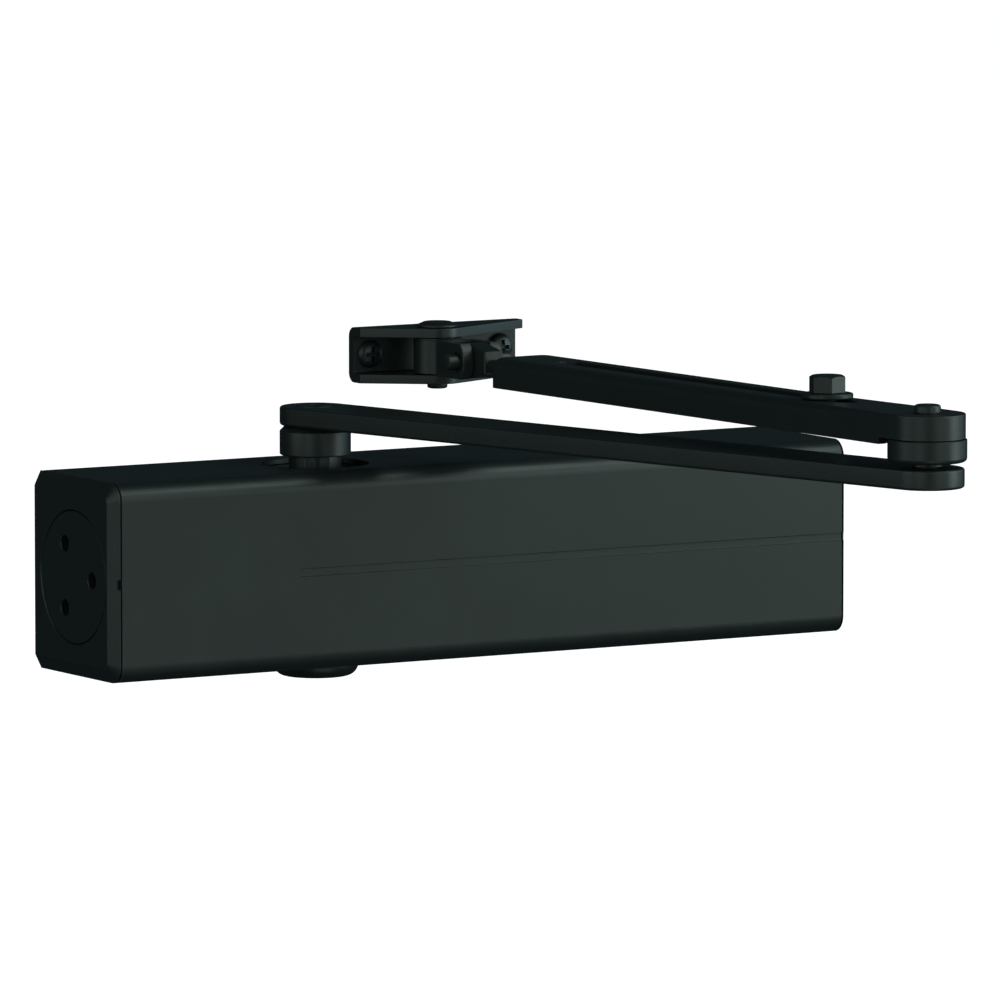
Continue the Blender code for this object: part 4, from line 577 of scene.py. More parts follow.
class CloserCover(bpy.types.Operator):
    """Pressed cover with two spindle openings and a long groove"""

    bl_idname = "closer.cover"
    bl_label = "Cover"

    def execute(self, context):
        sizes = context.scene.closer_body
        low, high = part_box("cover")
        half, front, back = high.z, low.y, high.y
        wall = sizes.cover_wall * MM
        radius = sizes.front_radius * MM
        outer = body_section(half, front, radius, back)
        inner = body_section(half - wall, front + wall, radius - wall, back)
        shape = plate(outer + inner[::-1], low.x, high.x)
        moved(shape, Matrix.Rotation(pi / 2, 4, "Z") @ Matrix.Rotation(pi / 2, 4, "X"))

        def outer_end(edge):
            at_end = all(abs(abs(vert.co.x) - high.x) < 1e-6 for vert in edge.verts)
            skin = all(abs(vert.co.z) > half - radius - MM or vert.co.y < front + MM for vert in edge.verts)
            inside = all(abs(vert.co.z) < half - wall / 2 and vert.co.y > front + wall / 2
                         for vert in edge.verts)
            return at_end and skin and not inside
        rounded(shape, outer_end, 0.2 * MM, 2)
        opening = sizes.opening_radius * MM
        spot = (SPINDLE.x, SPINDLE.y, 0.0)
        cuts = []
        for way in (-1, 1):
            flare = 0.2 * MM
            out = 1.0 * MM
            top = way * half
            profile = [(0.0, 0.0), (opening, 0.0), (opening, top - way * flare),
                       (opening + flare + out, top + way * out), (0.0, top + way * out)]
            cuts.append(lathe(profile, spot))
        cuts.append(long_groove(sizes, front))
        add_piece("cover_shell", worked(shape, (), cuts), "housing", ["cover"], "cover_enamel")
        return {"FINISHED"}


class CloserPlugs(bpy.types.Operator):
    """End plugs with three spanner holes each; the right one carries the power screw"""

    bl_idname = "closer.plugs"
    bl_label = "End plugs"

    def execute(self, context):
        sizes = context.scene.closer_body
        screw = radius_of("power_screw") + GAP
        for node, way, bore in (("left_end_plug", -1, 0.0), ("right_end_plug", 1, screw)):
            low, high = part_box(node)
            face, inner = (high.x, low.x) if way > 0 else (-low.x, -high.x)
            radius = radius_of(node)
            seal = middle_of("right_plug_seal").x
            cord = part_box("right_plug_seal")[1].x - seal + GAP
            bed = radius_of("right_plug_seal") - 2 * cord
            lip = 0.3 * MM
            outside = [(radius - lip, face), (radius - lip * 0.3, face - lip * 0.3), (radius, face - lip),
                       (radius, seal + cord), (bed, seal + cord), (bed, seal - cord), (radius, seal - cord),
                       (radius, inner)]
            if bore:
                profile = [(bore, face)] + outside + [(bore, inner)]
            else:
                profile = [(0.0, face)] + outside + [(0.0, inner)]
            shape = lathe(profile, (0.0, 0.0, 0.0), "X", 128, closed=bool(bore))
            moved(shape, Matrix.Translation((0.0, SPINDLE.y, 0.0)) @ Matrix.Scale(way, 4, (1, 0, 0)))
            holes = []
            for index in range(3):
                turn = pi + 2 * pi * index / 3
                circle = sizes.hole_circle * MM
                centre = (0.0, SPINDLE.y + circle * cos(turn), circle * sin(turn))
                deep = face - sizes.hole_depth * MM
                bore_radius = sizes.hole_radius * MM
                profile = [(0.0, deep), (bore_radius, deep), (bore_radius, face - 0.2 * MM),
                           (bore_radius + 1.2 * MM, face + MM), (0.0, face + MM)]
                hole = lathe(profile, (0.0, 0.0, 0.0), "X", SMALL_ROUND)
                holes.append(moved(hole, Matrix.Translation(centre) @ Matrix.Scale(way, 4, (1, 0, 0))))
            add_piece(node + "_turned", worked(shape, (), holes), "housing", [node], "dark_enamel")
        return {"FINISHED"}


class CloserSpindle(bpy.types.Operator):
    """Spindle cap under the body, and the collar under the main arm"""

    bl_idname = "closer.spindle"
    bl_label = "Spindle cap and collar"

    def execute(self, context):
        low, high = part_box("spindle_cap")
        radius = (high.x - low.x) / 2
        centre = (SPINDLE.x, SPINDLE.y, 0.0)
        bend = context.scene.closer_body.cap_round * MM
        wall = 1.8 * MM
        curve = arc((radius - bend, low.z + bend), bend, -pi / 2, 0.0, 10)
        profile = [(0.0, low.z)] + curve + [(radius, high.z), (radius - wall, high.z),
                                            (radius - wall, low.z + wall), (0.0, low.z + wall)]
        add_piece("spindle_cap_pressed", lathe(profile, centre), "housing", ["spindle_cap"], "cover_enamel")

        low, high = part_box("spindle_collar")
        radius = (high.x - low.x) / 2
        chamfer = context.scene.closer_arm.collar_chamfer * MM
        edge = 0.5 * MM
        profile = [(0.0, low.z), (radius - edge, low.z), (radius - edge * 0.3, low.z + edge * 0.3),
                   (radius, low.z + edge), (radius, high.z - chamfer), (radius - chamfer, high.z),
                   (0.0, high.z)]
        half = SQUARE_HALF
        cuts = [bar((-half, -half, low.z + 2 * MM), (half, half, high.z + MM)),
                rod(radius_of("upper_bearing") - 4.2 * MM, low.z - MM, low.z + 2.3 * MM)]
        add_piece("collar_turned", worked(lathe(profile), (), cuts), "arm", ["spindle_collar"],
                  "cover_enamel", ARM_PLACE)
        return {"FINISHED"}


# ---- arms ----
def stadium(length, width, steps=32):
    """Outline with round ends about (0, 0) and (length, 0)."""
    radius = width / 2
    near = arc((0.0, 0.0), radius, pi / 2, 3 * pi / 2, steps)
    return near + arc((length, 0.0), radius, -pi / 2, pi / 2, steps)


def hexagon(flats, turn=0.0):
    return arc((0.0, 0.0), flats / 2 / cos(pi / 6), turn, turn + 2 * pi * 5 / 6, 5)


class CloserMainArm(bpy.types.Operator):
    """Main arm with its socket screw over the spindle"""

    bl_idname = "closer.main_arm"
    bl_label = "Main arm"

    def execute(self, context):
        sizes = context.scene.closer_arm
        low, high = extent("main_arm", ARM_PLACE)
        width = high.y - low.y
        length = high.x - width / 2
        shape = plate(stadium(length, width), low.z, high.z)
        rounded(shape, at_height(high.z), sizes.arm_top_edge * MM, 3)
        rounded(shape, at_height(low.z), sizes.arm_low_edge * MM, 4)
        head_low, head_high = extent("arm_screw", ARM_PLACE)
        head = head_high.x
        half = SQUARE_HALF
        pin = ELBOW_PIN + GAP
        cuts = [bar((-half, -half, low.z - MM), (half, half, high.z - 2.3 * MM)),
                drill(head + GAP, high.z - 2.6 * MM, high.z, flare=0.1 * MM),
                drill(pin, low.z, high.z, (length, 0.0, 0.0)),
                rod(CLIP_RECESS, low.z - MM, low.z + CLIP_RECESS_DEPTH, (length, 0.0, 0.0))]
        add_piece("main_arm_bar", worked(shape, (), cuts), "arm", ["main_arm"], "dark_enamel", ARM_PLACE)
        under = high.z - 2.0 * MM
        thread = 2.3 * MM
        edge = 0.35 * MM
        profile = [(0.0, head_low.z), (thread, head_low.z), (thread, under), (head, under),
                   (head, head_high.z - edge), (head - edge * 0.3, head_high.z - edge * 0.3),
                   (head - edge, head_high.z), (0.0, head_high.z)]
        socket = plate(hexagon(4.6 * MM), high.z - 1.4 * MM, high.z + MM)
        rim = lathe([(0.0, head_high.z - 0.25 * MM), (2.3 * MM, head_high.z - 0.25 * MM),
                     (3.6 * MM, head_high.z + MM), (0.0, head_high.z + MM)])
        add_piece("arm_screw_socketed", worked(lathe(profile), (), [socket, rim]), "arm", ["arm_screw"],
                  "black_steel", ARM_PLACE)
        return {"FINISHED"}


class CloserElbow(bpy.types.Operator):
    """Elbow hub, washer and headed pin"""

    bl_idname = "closer.elbow"
    bl_label = "Elbow"

    def execute(self, context):
        low, high = extent("elbow_hub", REACH_PLACE)
        radius = high.x
        pin = ELBOW_PIN
        inner = pin + GAP
        fillet = context.scene.closer_arm.hub_fillet * MM
        curve = arc((radius - fillet, low.z + fillet), fillet, -pi / 2, 0.0, 8)
        top = 0.2 * MM
        profile = [(inner, low.z)] + curve + [(radius, high.z - top), (radius - top, high.z), (inner, high.z)]
        add_piece("elbow_hub_turned", lathe(profile, closed=True), "forearm", ["elbow_hub"], "dark_enamel",
                  REACH_PLACE)
        low, high = extent("elbow_washer", REACH_PLACE)
        profile = turned(inner, high.x, low.z, high.z, 0.15 * MM)
        add_piece("elbow_washer_turned", lathe(profile, closed=True), "forearm", ["elbow_washer"],
                  "black_steel", REACH_PLACE)
        low, high = extent("elbow_pin", REACH_PLACE)
        head = high.x
        under = extent("forearm", REACH_PLACE)[1].z + GAP
        clip_low, clip_high = extent("elbow_clip", REACH_PLACE)
        neck = pin - 0.7 * MM
        bend = 0.9 * MM
        cap = arc((head - bend, high.z - bend), bend, 0.0, pi / 2, 8)
        profile = [(0.0, low.z), (pin - 0.4 * MM, low.z), (pin, low.z + 0.4 * MM), (pin, clip_low.z - GAP),
                   (neck, clip_low.z - GAP), (neck, clip_high.z + GAP), (pin, clip_high.z + GAP),
                   (pin, under), (head, under)] + cap + [(0.0, high.z)]
        add_piece("elbow_pin_headed", lathe(profile), "forearm", ["elbow_pin"], "dark_enamel", REACH_PLACE)
        return {"FINISHED"}


class CloserForearm(bpy.types.Operator):
    """Pressed forearm: a slotted channel with a round solid end over the elbow"""

    bl_idname = "closer.forearm"
    bl_label = "Forearm"

    def execute(self, context):
        sizes = context.scene.closer_arm
        low, high = extent("forearm", REACH_PLACE)
        radius = high.y
        length = high.x
        wall = sizes.forearm_wall * MM
        bend = sizes.forearm_bend * MM
        hub_radius = extent("elbow_hub", REACH_PLACE)[1].x
        hub_top = extent("elbow_hub", REACH_PLACE)[1].z
        shape = forearm_skin(radius, length, low.z, high.z, bend)
        pocket_start = hub_radius + HUB_TO_POCKET
        inside = radius - wall
        outline = arc((pocket_start + inside, 0.0), inside, pi / 2, 3 * pi / 2, 24)
        outline += [(length + MM, -inside), (length + MM, inside)]
        pocket = plate(outline, low.z - MM, high.z - wall)
        rounded(pocket, at_height(high.z - wall), bend - wall, 4)
        step = bar((-radius - MM, -radius - MM, low.z - MM), (NOTCH_END, radius + MM, hub_top + GAP))
        hub_room = rod(hub_radius + HUB_ROOM, low.z - MM, hub_top + GAP)
        slot_width = sizes.slot_width * MM
        start, end = sizes.slot_start * MM, sizes.slot_end * MM
        slot = plate(stadium(end - start - slot_width, slot_width, 16), high.z - wall - MM, high.z + MM)
        moved(slot, Matrix.Translation((start + slot_width / 2, 0.0, 0.0)))
        hole = drill(ELBOW_PIN + GAP, low.z, high.z)
        add_piece("forearm_pressing", worked(shape, (), [pocket, step, hub_room, slot, hole]), "forearm",
                  ["forearm"], "dark_enamel", REACH_PLACE)
        return {"FINISHED"}


def forearm_skin(radius, length, low, high, bend):
    """Outer skin of the forearm: its top edges are bent along the channel and crisp round the elbow."""
    corner = 5.0 * MM
    crisp = 0.35 * MM
    outline = arc((0.0, 0.0), radius, pi / 2, 3 * pi / 2, 40)
    stations = 24
    fade = 60.0 * MM
    lower_side = [(fade * index / stations, -radius) for index in range(1, stations)]
    outline += lower_side
    outline += arc((length - corner, corner - radius), corner, -pi / 2, 0.0, 10)
    outline += arc((length - corner, radius - corner), corner, 0.0, pi / 2, 10)
    outline += [(x, -y) for x, y in reversed(lower_side)]
    steps = 8
    shape = bmesh.new()

    def bend_at(x):
        if x <= 0.0:
            return crisp
        if x >= fade:
            return bend
        share_of = x / fade
        return crisp + (bend - crisp) * share_of * share_of * (3 - 2 * share_of)

    count = len(outline)
    normals = []
    for index in range(count):
        before, after = outline[index - 1], outline[(index + 1) % count]
        run, rise = after[0] - before[0], after[1] - before[1]
        reach = hypot(run, rise)
        normals.append((rise / reach, -run / reach))
    loops = [[shape.verts.new((x, y, low)) for x, y in outline]]
    for step in range(steps + 1):
        turn = pi / 2 * step / steps
        loop = []
        for (x, y), (nx, ny) in zip(outline, normals):
            curve = bend_at(x)
            inward = curve * (1 - cos(turn))
            loop.append(shape.verts.new((x - nx * inward, y - ny * inward, high - curve + curve * sin(turn))))
        loops.append(loop)
    for first, second in zip(loops, loops[1:]):
        for index in range(count):
            after = (index + 1) % count
            shape.faces.new((first[index], first[after], second[after], second[index]))
    shape.faces.new(loops[0])
    shape.faces.new(loops[-1])
    bmesh.ops.recalc_face_normals(shape, faces=shape.faces)
    return shape


# ---- slider, clamp, fork and bracket ----
class CloserSlider(bpy.types.Operator):
    """Flat slider whose end is an upright tongue, with the clamp bolt, washer and nut"""

    bl_idname = "closer.slider"
    bl_label = "Slider and clamp"

    def execute(self, context):
        sizes = context.scene.closer_arm
        bolt = sizes.bolt_radius * MM
        low, high = extent("slider", REACH_PLACE)
        cross = extent("cross_pin", REACH_PLACE)
        spot = (cross[0] + cross[1]) / 2
        bolt_x = (extent("clamp_washer", REACH_PLACE)[0].x + extent("clamp_washer", REACH_PLACE)[1].x) / 2
        half = high.y
        tongue = 3.25 * MM
        eye_radius = high.x - spot.x
        top = extent("forearm", REACH_PLACE)[1].z - sizes.forearm_wall * MM - GAP
        bottom = top - SLIDER_THICKNESS
        bar_end = extent("forearm", REACH_PLACE)[1].x - SLIDER_INSIDE
        block = 9.5 * MM
        block_half = 3.4 * MM
        neck = 2.1 * MM
        shape = bar((low.x, -half, bottom), (bar_end, half, top))
        rounded(shape, lambda edge: at_height(top)(edge) or at_height(bottom)(edge), 0.3 * MM, 2)
        lean = atan2(block_half, block) + acos(eye_radius / hypot(block, block_half))
        ring = arc((spot.x, spot.z), eye_radius, lean - pi, pi - lean, 32)
        ring += [(spot.x - block, spot.z + block_half), (spot.x - block, spot.z - block_half)]
        upstand = plate(ring, -tongue, tongue)
        rounded(upstand, lambda edge: at_height(tongue)(edge) or at_height(-tongue)(edge), 0.35 * MM, 2)
        moved(upstand, Matrix.Rotation(pi / 2, 4, "X"))
        stem = rod(neck, bar_end - 2 * MM, spot.x - block + MM, (0.0, 0.0, top - neck - 0.05 * MM), "X")
        pin = (cross[1].z - cross[0].z) / 2
        cuts = [rod(pin + GAP, -half, half, (spot.x, 0.0, spot.z), "Y"),
                rod(bolt + GAP, bottom - MM, top + MM, (bolt_x, 0.0, 0.0))]
        add_piece("slider_bar", worked(shape, [stem, upstand], cuts), "slider", ["slider"], "dark_enamel",
                  REACH_PLACE)

        at = (bolt_x, 0.0, 0.0)
        low, high = extent("clamp_washer", REACH_PLACE)
        radius = (high.x - low.x) / 2
        edge = 0.35 * MM
        inner = bolt + GAP
        profile = [(inner, low.z), (radius - edge * 0.5, low.z), (radius, low.z + edge),
                   (radius, high.z - edge), (radius - edge * 0.4, high.z - edge * 0.3),
                   (radius - edge * 1.5, high.z), (inner, high.z)]
        add_piece("clamp_washer_turned", lathe(profile, at, closed=True), "slider", ["clamp_washer"],
                  "dark_enamel", REACH_PLACE)
        seat = high.z + GAP
        low, high = extent("clamp_bolt", REACH_PLACE)
        flats = sizes.bolt_flats * MM
        head = plate([(x + bolt_x, y) for x, y in hexagon(flats, BOLT_TURN)], seat, high.z)
        rounded(head, upright, 0.25 * MM, 2)
        wide, narrow = flats * 0.60, flats * 0.46
        crown = [(0.0, seat - MM), (wide, seat - MM), (wide, high.z - 0.75 * MM), (narrow, high.z),
                 (0.0, high.z)]
        outside = [(0.0, seat - MM), (9 * MM, seat - MM), (9 * MM, high.z + MM), (0.0, high.z + MM)]
        shell = worked(lathe(outside, at), (), [lathe(crown, at)])
        shank = rod(bolt, low.z, seat + MM, at, edge=0.4 * MM)
        add_piece("clamp_bolt_hexagon", worked(worked(head, (), [shell]), [shank]), "slider", ["clamp_bolt"],
                  "dark_enamel", REACH_PLACE)
        low, high = extent("clamp_nut", REACH_PLACE)
        block = bar(low, high)
        rounded(block, lambda edge: True, 0.4 * MM, 2)
        hole = drill(bolt + GAP, low.z, high.z, at)
        add_piece("clamp_nut_square", worked(block, (), [hole]), "slider", ["clamp_nut"], "bright_steel",
                  REACH_PLACE)
        return {"FINISHED"}


class CloserFork(bpy.types.Operator):
    """Swivel fork with its barrel, two ears and cross pin"""

    bl_idname = "closer.fork"
    bl_label = "Swivel fork"

    def execute(self, context):
        place = along(Vector((PIVOT.x, PIVOT.y, 0.0)), -axis_of("reach_slide"))
        low, high = extent("swivel_fork", place)
        ear_tip = high.x
        barrel = -low.x
        outside = high.y
        cross_low, cross_high = extent("cross_pin", place)
        cross_x = (cross_low.x + cross_high.x) / 2
        cross_z = (cross_low.z + cross_high.z) / 2
        pin = (cross_high.z - cross_low.z) / 2
        shape = lathe(turned(0.0, barrel, low.z, high.z, 0.5 * MM))
        shoulder = 10.1 * MM
        ear = 5.4 * MM
        gap = 3.6 * MM
        root = shoulder + EAR_ROOT
        tip_radius = 8.2 * MM
        tip_angle = asin(ear / tip_radius)
        outline = arc((ear_tip - tip_radius, cross_z), tip_radius, -tip_angle, tip_angle, 20)
        outline += [(shoulder, cross_z + ear), (shoulder, cross_z - ear)]
        body = plate(outline, -outside, outside)
        rounded(body, lambda edge: at_height(outside)(edge) or at_height(-outside)(edge), 0.45 * MM, 3)
        moved(body, Matrix.Rotation(pi / 2, 4, "X"))
        web = bar((barrel * 0.4, -gap, low.z), (shoulder + MM, gap, high.z))
        slot = bar((root, -gap, cross_z - ear - MM), (ear_tip + MM, gap, cross_z + ear + MM))

        def root_corner(edge):
            return all(vert.co.x < root + 1e-6 for vert in edge.verts) and upright(edge)
        rounded(slot, root_corner, 1.2 * MM, 4)
        cuts = [slot, rod(pin + GAP, -outside - MM, outside + MM, (cross_x, 0.0, cross_z), "Y"),
                rod(PIVOT_PIN + GAP, low.z - MM, high.z + MM)]
        add_piece("swivel_fork_forged", worked(shape, [web, body], cuts), "fork", ["swivel_fork"],
                  "dark_enamel", place)
        end = cross_high.y
        edge = 0.4 * MM
        profile = [(0.0, -end), (pin - edge, -end), (pin - edge * 0.3, -end + edge * 0.3), (pin, -end + edge),
                   (pin, end - edge), (pin - edge * 0.3, end - edge * 0.3), (pin - edge, end), (0.0, end)]
        add_piece("cross_pin_turned", lathe(profile, (cross_x, 0.0, cross_z), "Y", SMALL_ROUND), "fork",
                  ["cross_pin"], "dark_enamel", place)
        return {"FINISHED"}


def touching_angle(start, radius, side):
    """Angle at which the line from start touches a circle about (0, 0)."""
    return atan2(start[1], start[0]) + side * acos(radius / hypot(*start))


class CloserBracket(bpy.types.Operator):
    """Channel bracket with its pivot pin, washers and two screws"""

    bl_idname = "closer.bracket"
    bl_label = "Frame bracket"

    def execute(self, context):
        sizes = context.scene.closer_arm
        low, high = extent("frame_bracket", PIVOT_PLACE)
        wall = sizes.bracket_plate * MM
        nose = -low.y
        front = high.y - sizes.bracket_end * MM
        from_left = touching_angle((low.x, front), nose, 1)
        from_right = touching_angle((high.x, front), nose, -1)
        curve = arc((0.0, 0.0), nose, from_left % (2 * pi), from_right % (2 * pi), 32)
        outline = [(high.x, high.y), (low.x, high.y), (low.x, front)] + curve + [(high.x, front)]
        shape = plate(outline, low.z, high.z)

        def long_back(edge):
            first, second = (vert.co for vert in edge.verts)
            return min(first.y, second.y) > high.y - 1e-6 and abs(first.x - second.x) > wall
        rounded(shape, long_back, sizes.bracket_bend * MM, 10)

        def flange_rim(edge):
            level = at_height(low.z)(edge) or at_height(high.z)(edge)
            return level and all(vert.co.y < front + MM / 10 for vert in edge.verts)
        rounded(shape, flange_rim, 0.25 * MM, 2)
        margin = 6 * MM
        channel = bar((low.x - margin, low.y - margin, low.z + wall),
                      (high.x + margin, high.y - wall, high.z - wall))

        def inner_corner(edge):
            first, second = (vert.co for vert in edge.verts)
            return min(first.y, second.y) > high.y - wall - 1e-6 and abs(first.x - second.x) > wall
        rounded(channel, inner_corner, 0.8 * MM, 4)
        pin = PIVOT_PIN
        cuts = [channel, rod(pin + GAP, low.z - MM, high.z + MM)]
        level = (low.z + high.z) / 2
        screws = {}
        for hand in ("left", "right"):
            screws[hand] = extent(f"bracket_screw_{hand}", PIVOT_PLACE)
            spot = (screws[hand][0] + screws[hand][1]) / 2
            cuts.append(rod(2.3 * MM + GAP, high.y - wall - MM, high.y + MM, (spot.x, 0.0, level), "Y"))
        add_piece("frame_bracket_bent", worked(shape, (), cuts), "bracket", ["frame_bracket"], "dark_enamel",
                  PIVOT_PLACE)

        for hand, (first, second) in screws.items():
            x = (first.x + second.x) / 2
            radius = (second.x - first.x) / 2
            bed = high.y - wall - GAP
            rise = bed - first.y
            dome = []
            for index in range(9):
                turn = pi / 2 * index / 8
                dome.append((radius * sin(turn), bed - rise * cos(turn) ** 0.8 if index < 8 else bed))
            profile = dome + [(2.3 * MM, bed), (2.3 * MM, second.y), (0.0, second.y)]
            long, narrow, deep = 2.3 * MM, 0.62 * MM, 1.5 * MM
            recess = [moved(bar((-a, bed - rise - MM, -b), (a, bed - rise + deep, b)),
                            Matrix.Translation((x, 0.0, level))) for a, b in ((long, narrow), (narrow, long))]
            add_piece(f"bracket_screw_{hand}_domed",
                      worked(lathe(profile, (x, 0.0, level), "Y"), (), recess), "bracket",
                      [f"bracket_screw_{hand}"], "black_steel", PIVOT_PLACE)

        head_low, head_high = extent("pivot_pin", PIVOT_PLACE)
        head = head_high.x
        under = high.z + GAP
        tail = 3.1 * MM
        flat = sizes.pivot_flat * MM
        rim = under + 0.5 * MM
        slope = [(head, under), (head, rim - 0.15 * MM), (head - 0.15 * MM, rim + 0.05 * MM)]
        crown = arc((flat, head_high.z - 0.8 * MM), 0.8 * MM, radians(50), pi / 2, 5)
        profile = [(0.0, head_low.z), (tail - 0.6 * MM, head_low.z),
                   (tail - 0.15 * MM, head_low.z + 0.2 * MM), (tail, head_low.z + 0.6 * MM),
                   (tail, low.z - GAP), (pin, low.z), (pin, under)]
        profile += slope + crown + [(0.0, head_high.z)]
        add_piece("pivot_pin_headed", lathe(profile), "bracket", ["pivot_pin"], "dark_enamel", PIVOT_PLACE)
        for level_name in ("upper", "lower"):
            node = f"pivot_washer_{level_name}"
            first, second = extent(node, PIVOT_PLACE)
            profile = turned(pin + GAP, second.x, first.z, second.z, 0.15 * MM)
            add_piece(node + "_turned", lathe(profile, closed=True), "bracket", [node], "bearing_bronze",
                      PIVOT_PLACE, material=blackened_steel())
        return {"FINISHED"}


class CloserInside(bpy.types.Operator):
    """Finishes for the pieces inside the body and the small hardware that keep their frame shapes"""

    bl_idname = "closer.inside"
    bl_label = "Inside pieces"

    def execute(self, context):
        dark = blackened_steel()
        steel = plain_steel()
        bronze = bearing_bronze()
        rubber = seal_rubber()
        chosen = {}
        for name in frame["nodes"]:
            if "seal" in name:
                chosen[name] = rubber
            elif "bearing" in name or "valve" in name:
                chosen[name] = bronze
            elif "gland" in name or name in ("spindle", "elbow_clip", "power_screw"):
                chosen[name] = dark
            else:
                chosen[name] = steel
        for name, material in chosen.items():
            mesh = frame["nodes"][name].data
            mesh.materials.clear()
            mesh.materials.append(material)
        smooth = {"spindle": ("arm", "black_steel"), "elbow_clip": ("forearm", "black_steel"),
                  "power_screw": ("housing", "bright_steel")}
        for name in ("upper_gland_nut", "lower_gland_nut"):
            smooth[name] = ("housing", "black_steel")
        for name in ("closing_valve", "latching_valve", "backcheck_valve"):
            smooth[name] = ("housing", "bearing_bronze")
        for level in ("upper", "lower"):
            for hand in ("left", "right"):
                smooth[f"mounting_screw_{level}_{hand}"] = ("housing", "bright_steel")
        for name, (body, slot) in smooth.items():
            shape = bmesh.new()
            shape.from_mesh(frame["nodes"][name].data)
            add_piece(name + "_smooth", shape, body, [name], slot, material=chosen[name])
        return {"FINISHED"}


# ---- studio ----
def soft_box(name, place, aim, wide, tall, power, tint):
    light = bpy.data.lights.new(name, "AREA")
    light.shape = "RECTANGLE"
    light.size = wide
    light.size_y = tall
    light.energy = power
    light.color = tint
    lamp = bpy.data.objects.new(name, light)
    lamp.location = place
    lamp.rotation_euler = (Vector(aim) - Vector(place)).to_track_quat("-Z", "Y").to_euler()
    bpy.context.scene.collection.objects.link(lamp)
    return lamp


KEY_POWER = 21.0                      # watts of the key light, at the right front
NEUTRAL = (0.80, 1.00, 0.93)
COOL = (0.55, 0.84, 1.00)

# name: place, width, height, share of the key light's power, colour
LIGHTS = {
    "right_box": ((2.2, -0.5, 0.5), 1.2, 1.4, 0.30, COOL),
    "right_front_box": ((2.0, -1.7, 0.35), 1.2, 1.4, 1.00, NEUTRAL),
    "front_box": ((0.3, -2.6, 0.5), 1.4, 1.4, 0.40, NEUTRAL),
    "left_front_box": ((-1.9, -1.6, 0.4), 1.2, 1.4, 0.30, NEUTRAL),
    "left_box": ((-1.8, 0.0, 0.4), 1.2, 1.2, 0.25, NEUTRAL),
    "top_box": ((1.1, -1.1, 1.4), 0.9, 0.9, 0.40, NEUTRAL),
    "top_left_box": ((-0.9, -0.5, 1.6), 1.0, 1.0, 0.08, NEUTRAL),
    "low_front_box": ((-0.2, -1.8, -1.2), 1.8, 1.0, 0.20, NEUTRAL),
}


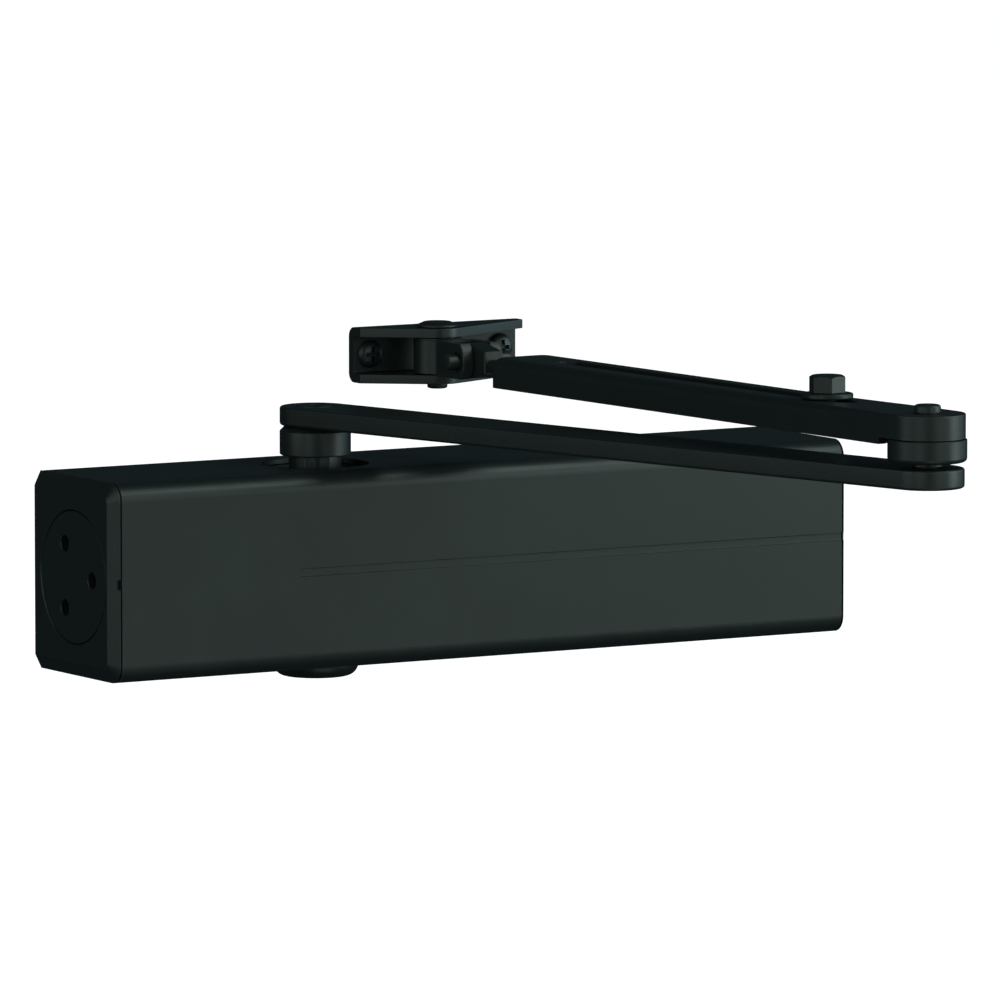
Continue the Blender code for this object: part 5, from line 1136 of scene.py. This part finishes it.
class CloserStage(bpy.types.Operator):
    """Pale floor, soft studio lights and the camera"""

    bl_idname = "closer.stage"
    bl_label = "Stage"

    def execute(self, context):
        scene = context.scene
        tones = scene.closer_colours
        low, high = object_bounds()
        middle = (low + high) / 2
        shape = bmesh.new()
        bmesh.ops.create_circle(shape, cap_ends=True, segments=64, radius=60.0)
        mesh = bpy.data.meshes.new("floor")
        shape.to_mesh(mesh)
        shape.free()
        floor = bpy.data.objects.new("floor", mesh)
        floor.location = (middle.x, middle.y, low.z - 0.12)
        scene.collection.objects.link(floor)
        material = bpy.data.materials.new("pale_floor")
        material.use_nodes = True
        tree = material.node_tree
        shader = tree.nodes["Principled BSDF"]
        where = tree.nodes.new("ShaderNodeTexCoord").outputs["Object"]
        shade = spread(tree, noise(tree, where, 6.0, 3.0), 0.0, 1.0)
        pale = blended(tree, shade, [part * 0.98 for part in tones.floor], tones.floor)
        tree.links.new(pale, shader.inputs["Base Color"])
        shader.inputs["Roughness"].default_value = 0.9
        shader.inputs["Emission Color"].default_value = (1.0, 1.0, 1.0, 1.0)
        shader.inputs["Emission Strength"].default_value = 1.0
        mesh.materials.append(material)
        floor.visible_glossy = False
        floor.visible_diffuse = False
        floor.visible_shadow = False
        floor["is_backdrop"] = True
        for name, (place, wide, tall, part, tint) in LIGHTS.items():
            soft_box(name, place, middle, wide, tall, KEY_POWER * part, tint)
        world = bpy.data.worlds.new("studio")
        world.use_nodes = True
        sky = world.node_tree.nodes["Background"]
        sky.inputs["Color"].default_value = (0.5, 0.8, 1.0, 1.0)
        sky.inputs["Strength"].default_value = 0.035
        scene.world = world
        scene.view_settings.view_transform = "Standard"
        scene.view_settings.look = "None"

        azimuth, elevation, distance = radians(-30.897), radians(6.183), 3.3833
        aim = middle + Vector((0.03002, 0.13459, -0.00501))
        back = Vector((sin(azimuth) * cos(elevation), -cos(azimuth) * cos(elevation), sin(elevation)))
        lens = bpy.data.cameras.new("camera")
        lens.lens = 395.0
        lens.sensor_width = 36.0
        lens.clip_start = 0.1
        lens.clip_end = 200.0
        camera = bpy.data.objects.new("camera", lens)
        camera.location = aim + back * distance
        camera.rotation_euler = (-back).to_track_quat("-Z", "Y").to_euler()
        scene.collection.objects.link(camera)
        scene.camera = camera
        return {"FINISHED"}


# ---- sidebar, registration and run ----
PIECES = (CloserHousing, CloserCover, CloserPlugs, CloserSpindle, CloserMainArm, CloserElbow, CloserForearm,
          CloserSlider, CloserFork, CloserBracket, CloserInside, CloserStage)


class CloserPanel(bpy.types.Panel):
    """Lists the steps that build the door closer, and its sizes and colours"""

    bl_idname = "VIEW3D_PT_door_closer"
    bl_label = "Door Closer"
    bl_space_type = "VIEW_3D"
    bl_region_type = "UI"
    bl_category = "Door Closer"

    def draw(self, context):
        for piece in PIECES:
            self.layout.operator(piece.bl_idname)
        for group in settings():
            box = self.layout.box()
            for name in group.__annotations__:
                box.prop(group, name)


GROUPS = {"closer_body": CloserBodySizes, "closer_arm": CloserArmSizes, "closer_colours": CloserColours}


def register():
    for item in (*GROUPS.values(), *PIECES, CloserPanel):
        bpy.utils.register_class(item)
    for name, group in GROUPS.items():
        setattr(bpy.types.Scene, name, PointerProperty(type=group))


def unregister():
    for name in GROUPS:
        delattr(bpy.types.Scene, name)
    for item in reversed((*GROUPS.values(), *PIECES, CloserPanel)):
        bpy.utils.unregister_class(item)


def main():
    register()
    for piece in PIECES:
        area, step = piece.bl_idname.split(".")
        result = getattr(getattr(bpy.ops, area), step)()
        if "FINISHED" not in result:
            raise RuntimeError(f"{piece.bl_label} didn't finish")


if __name__ == "__main__":
    main()
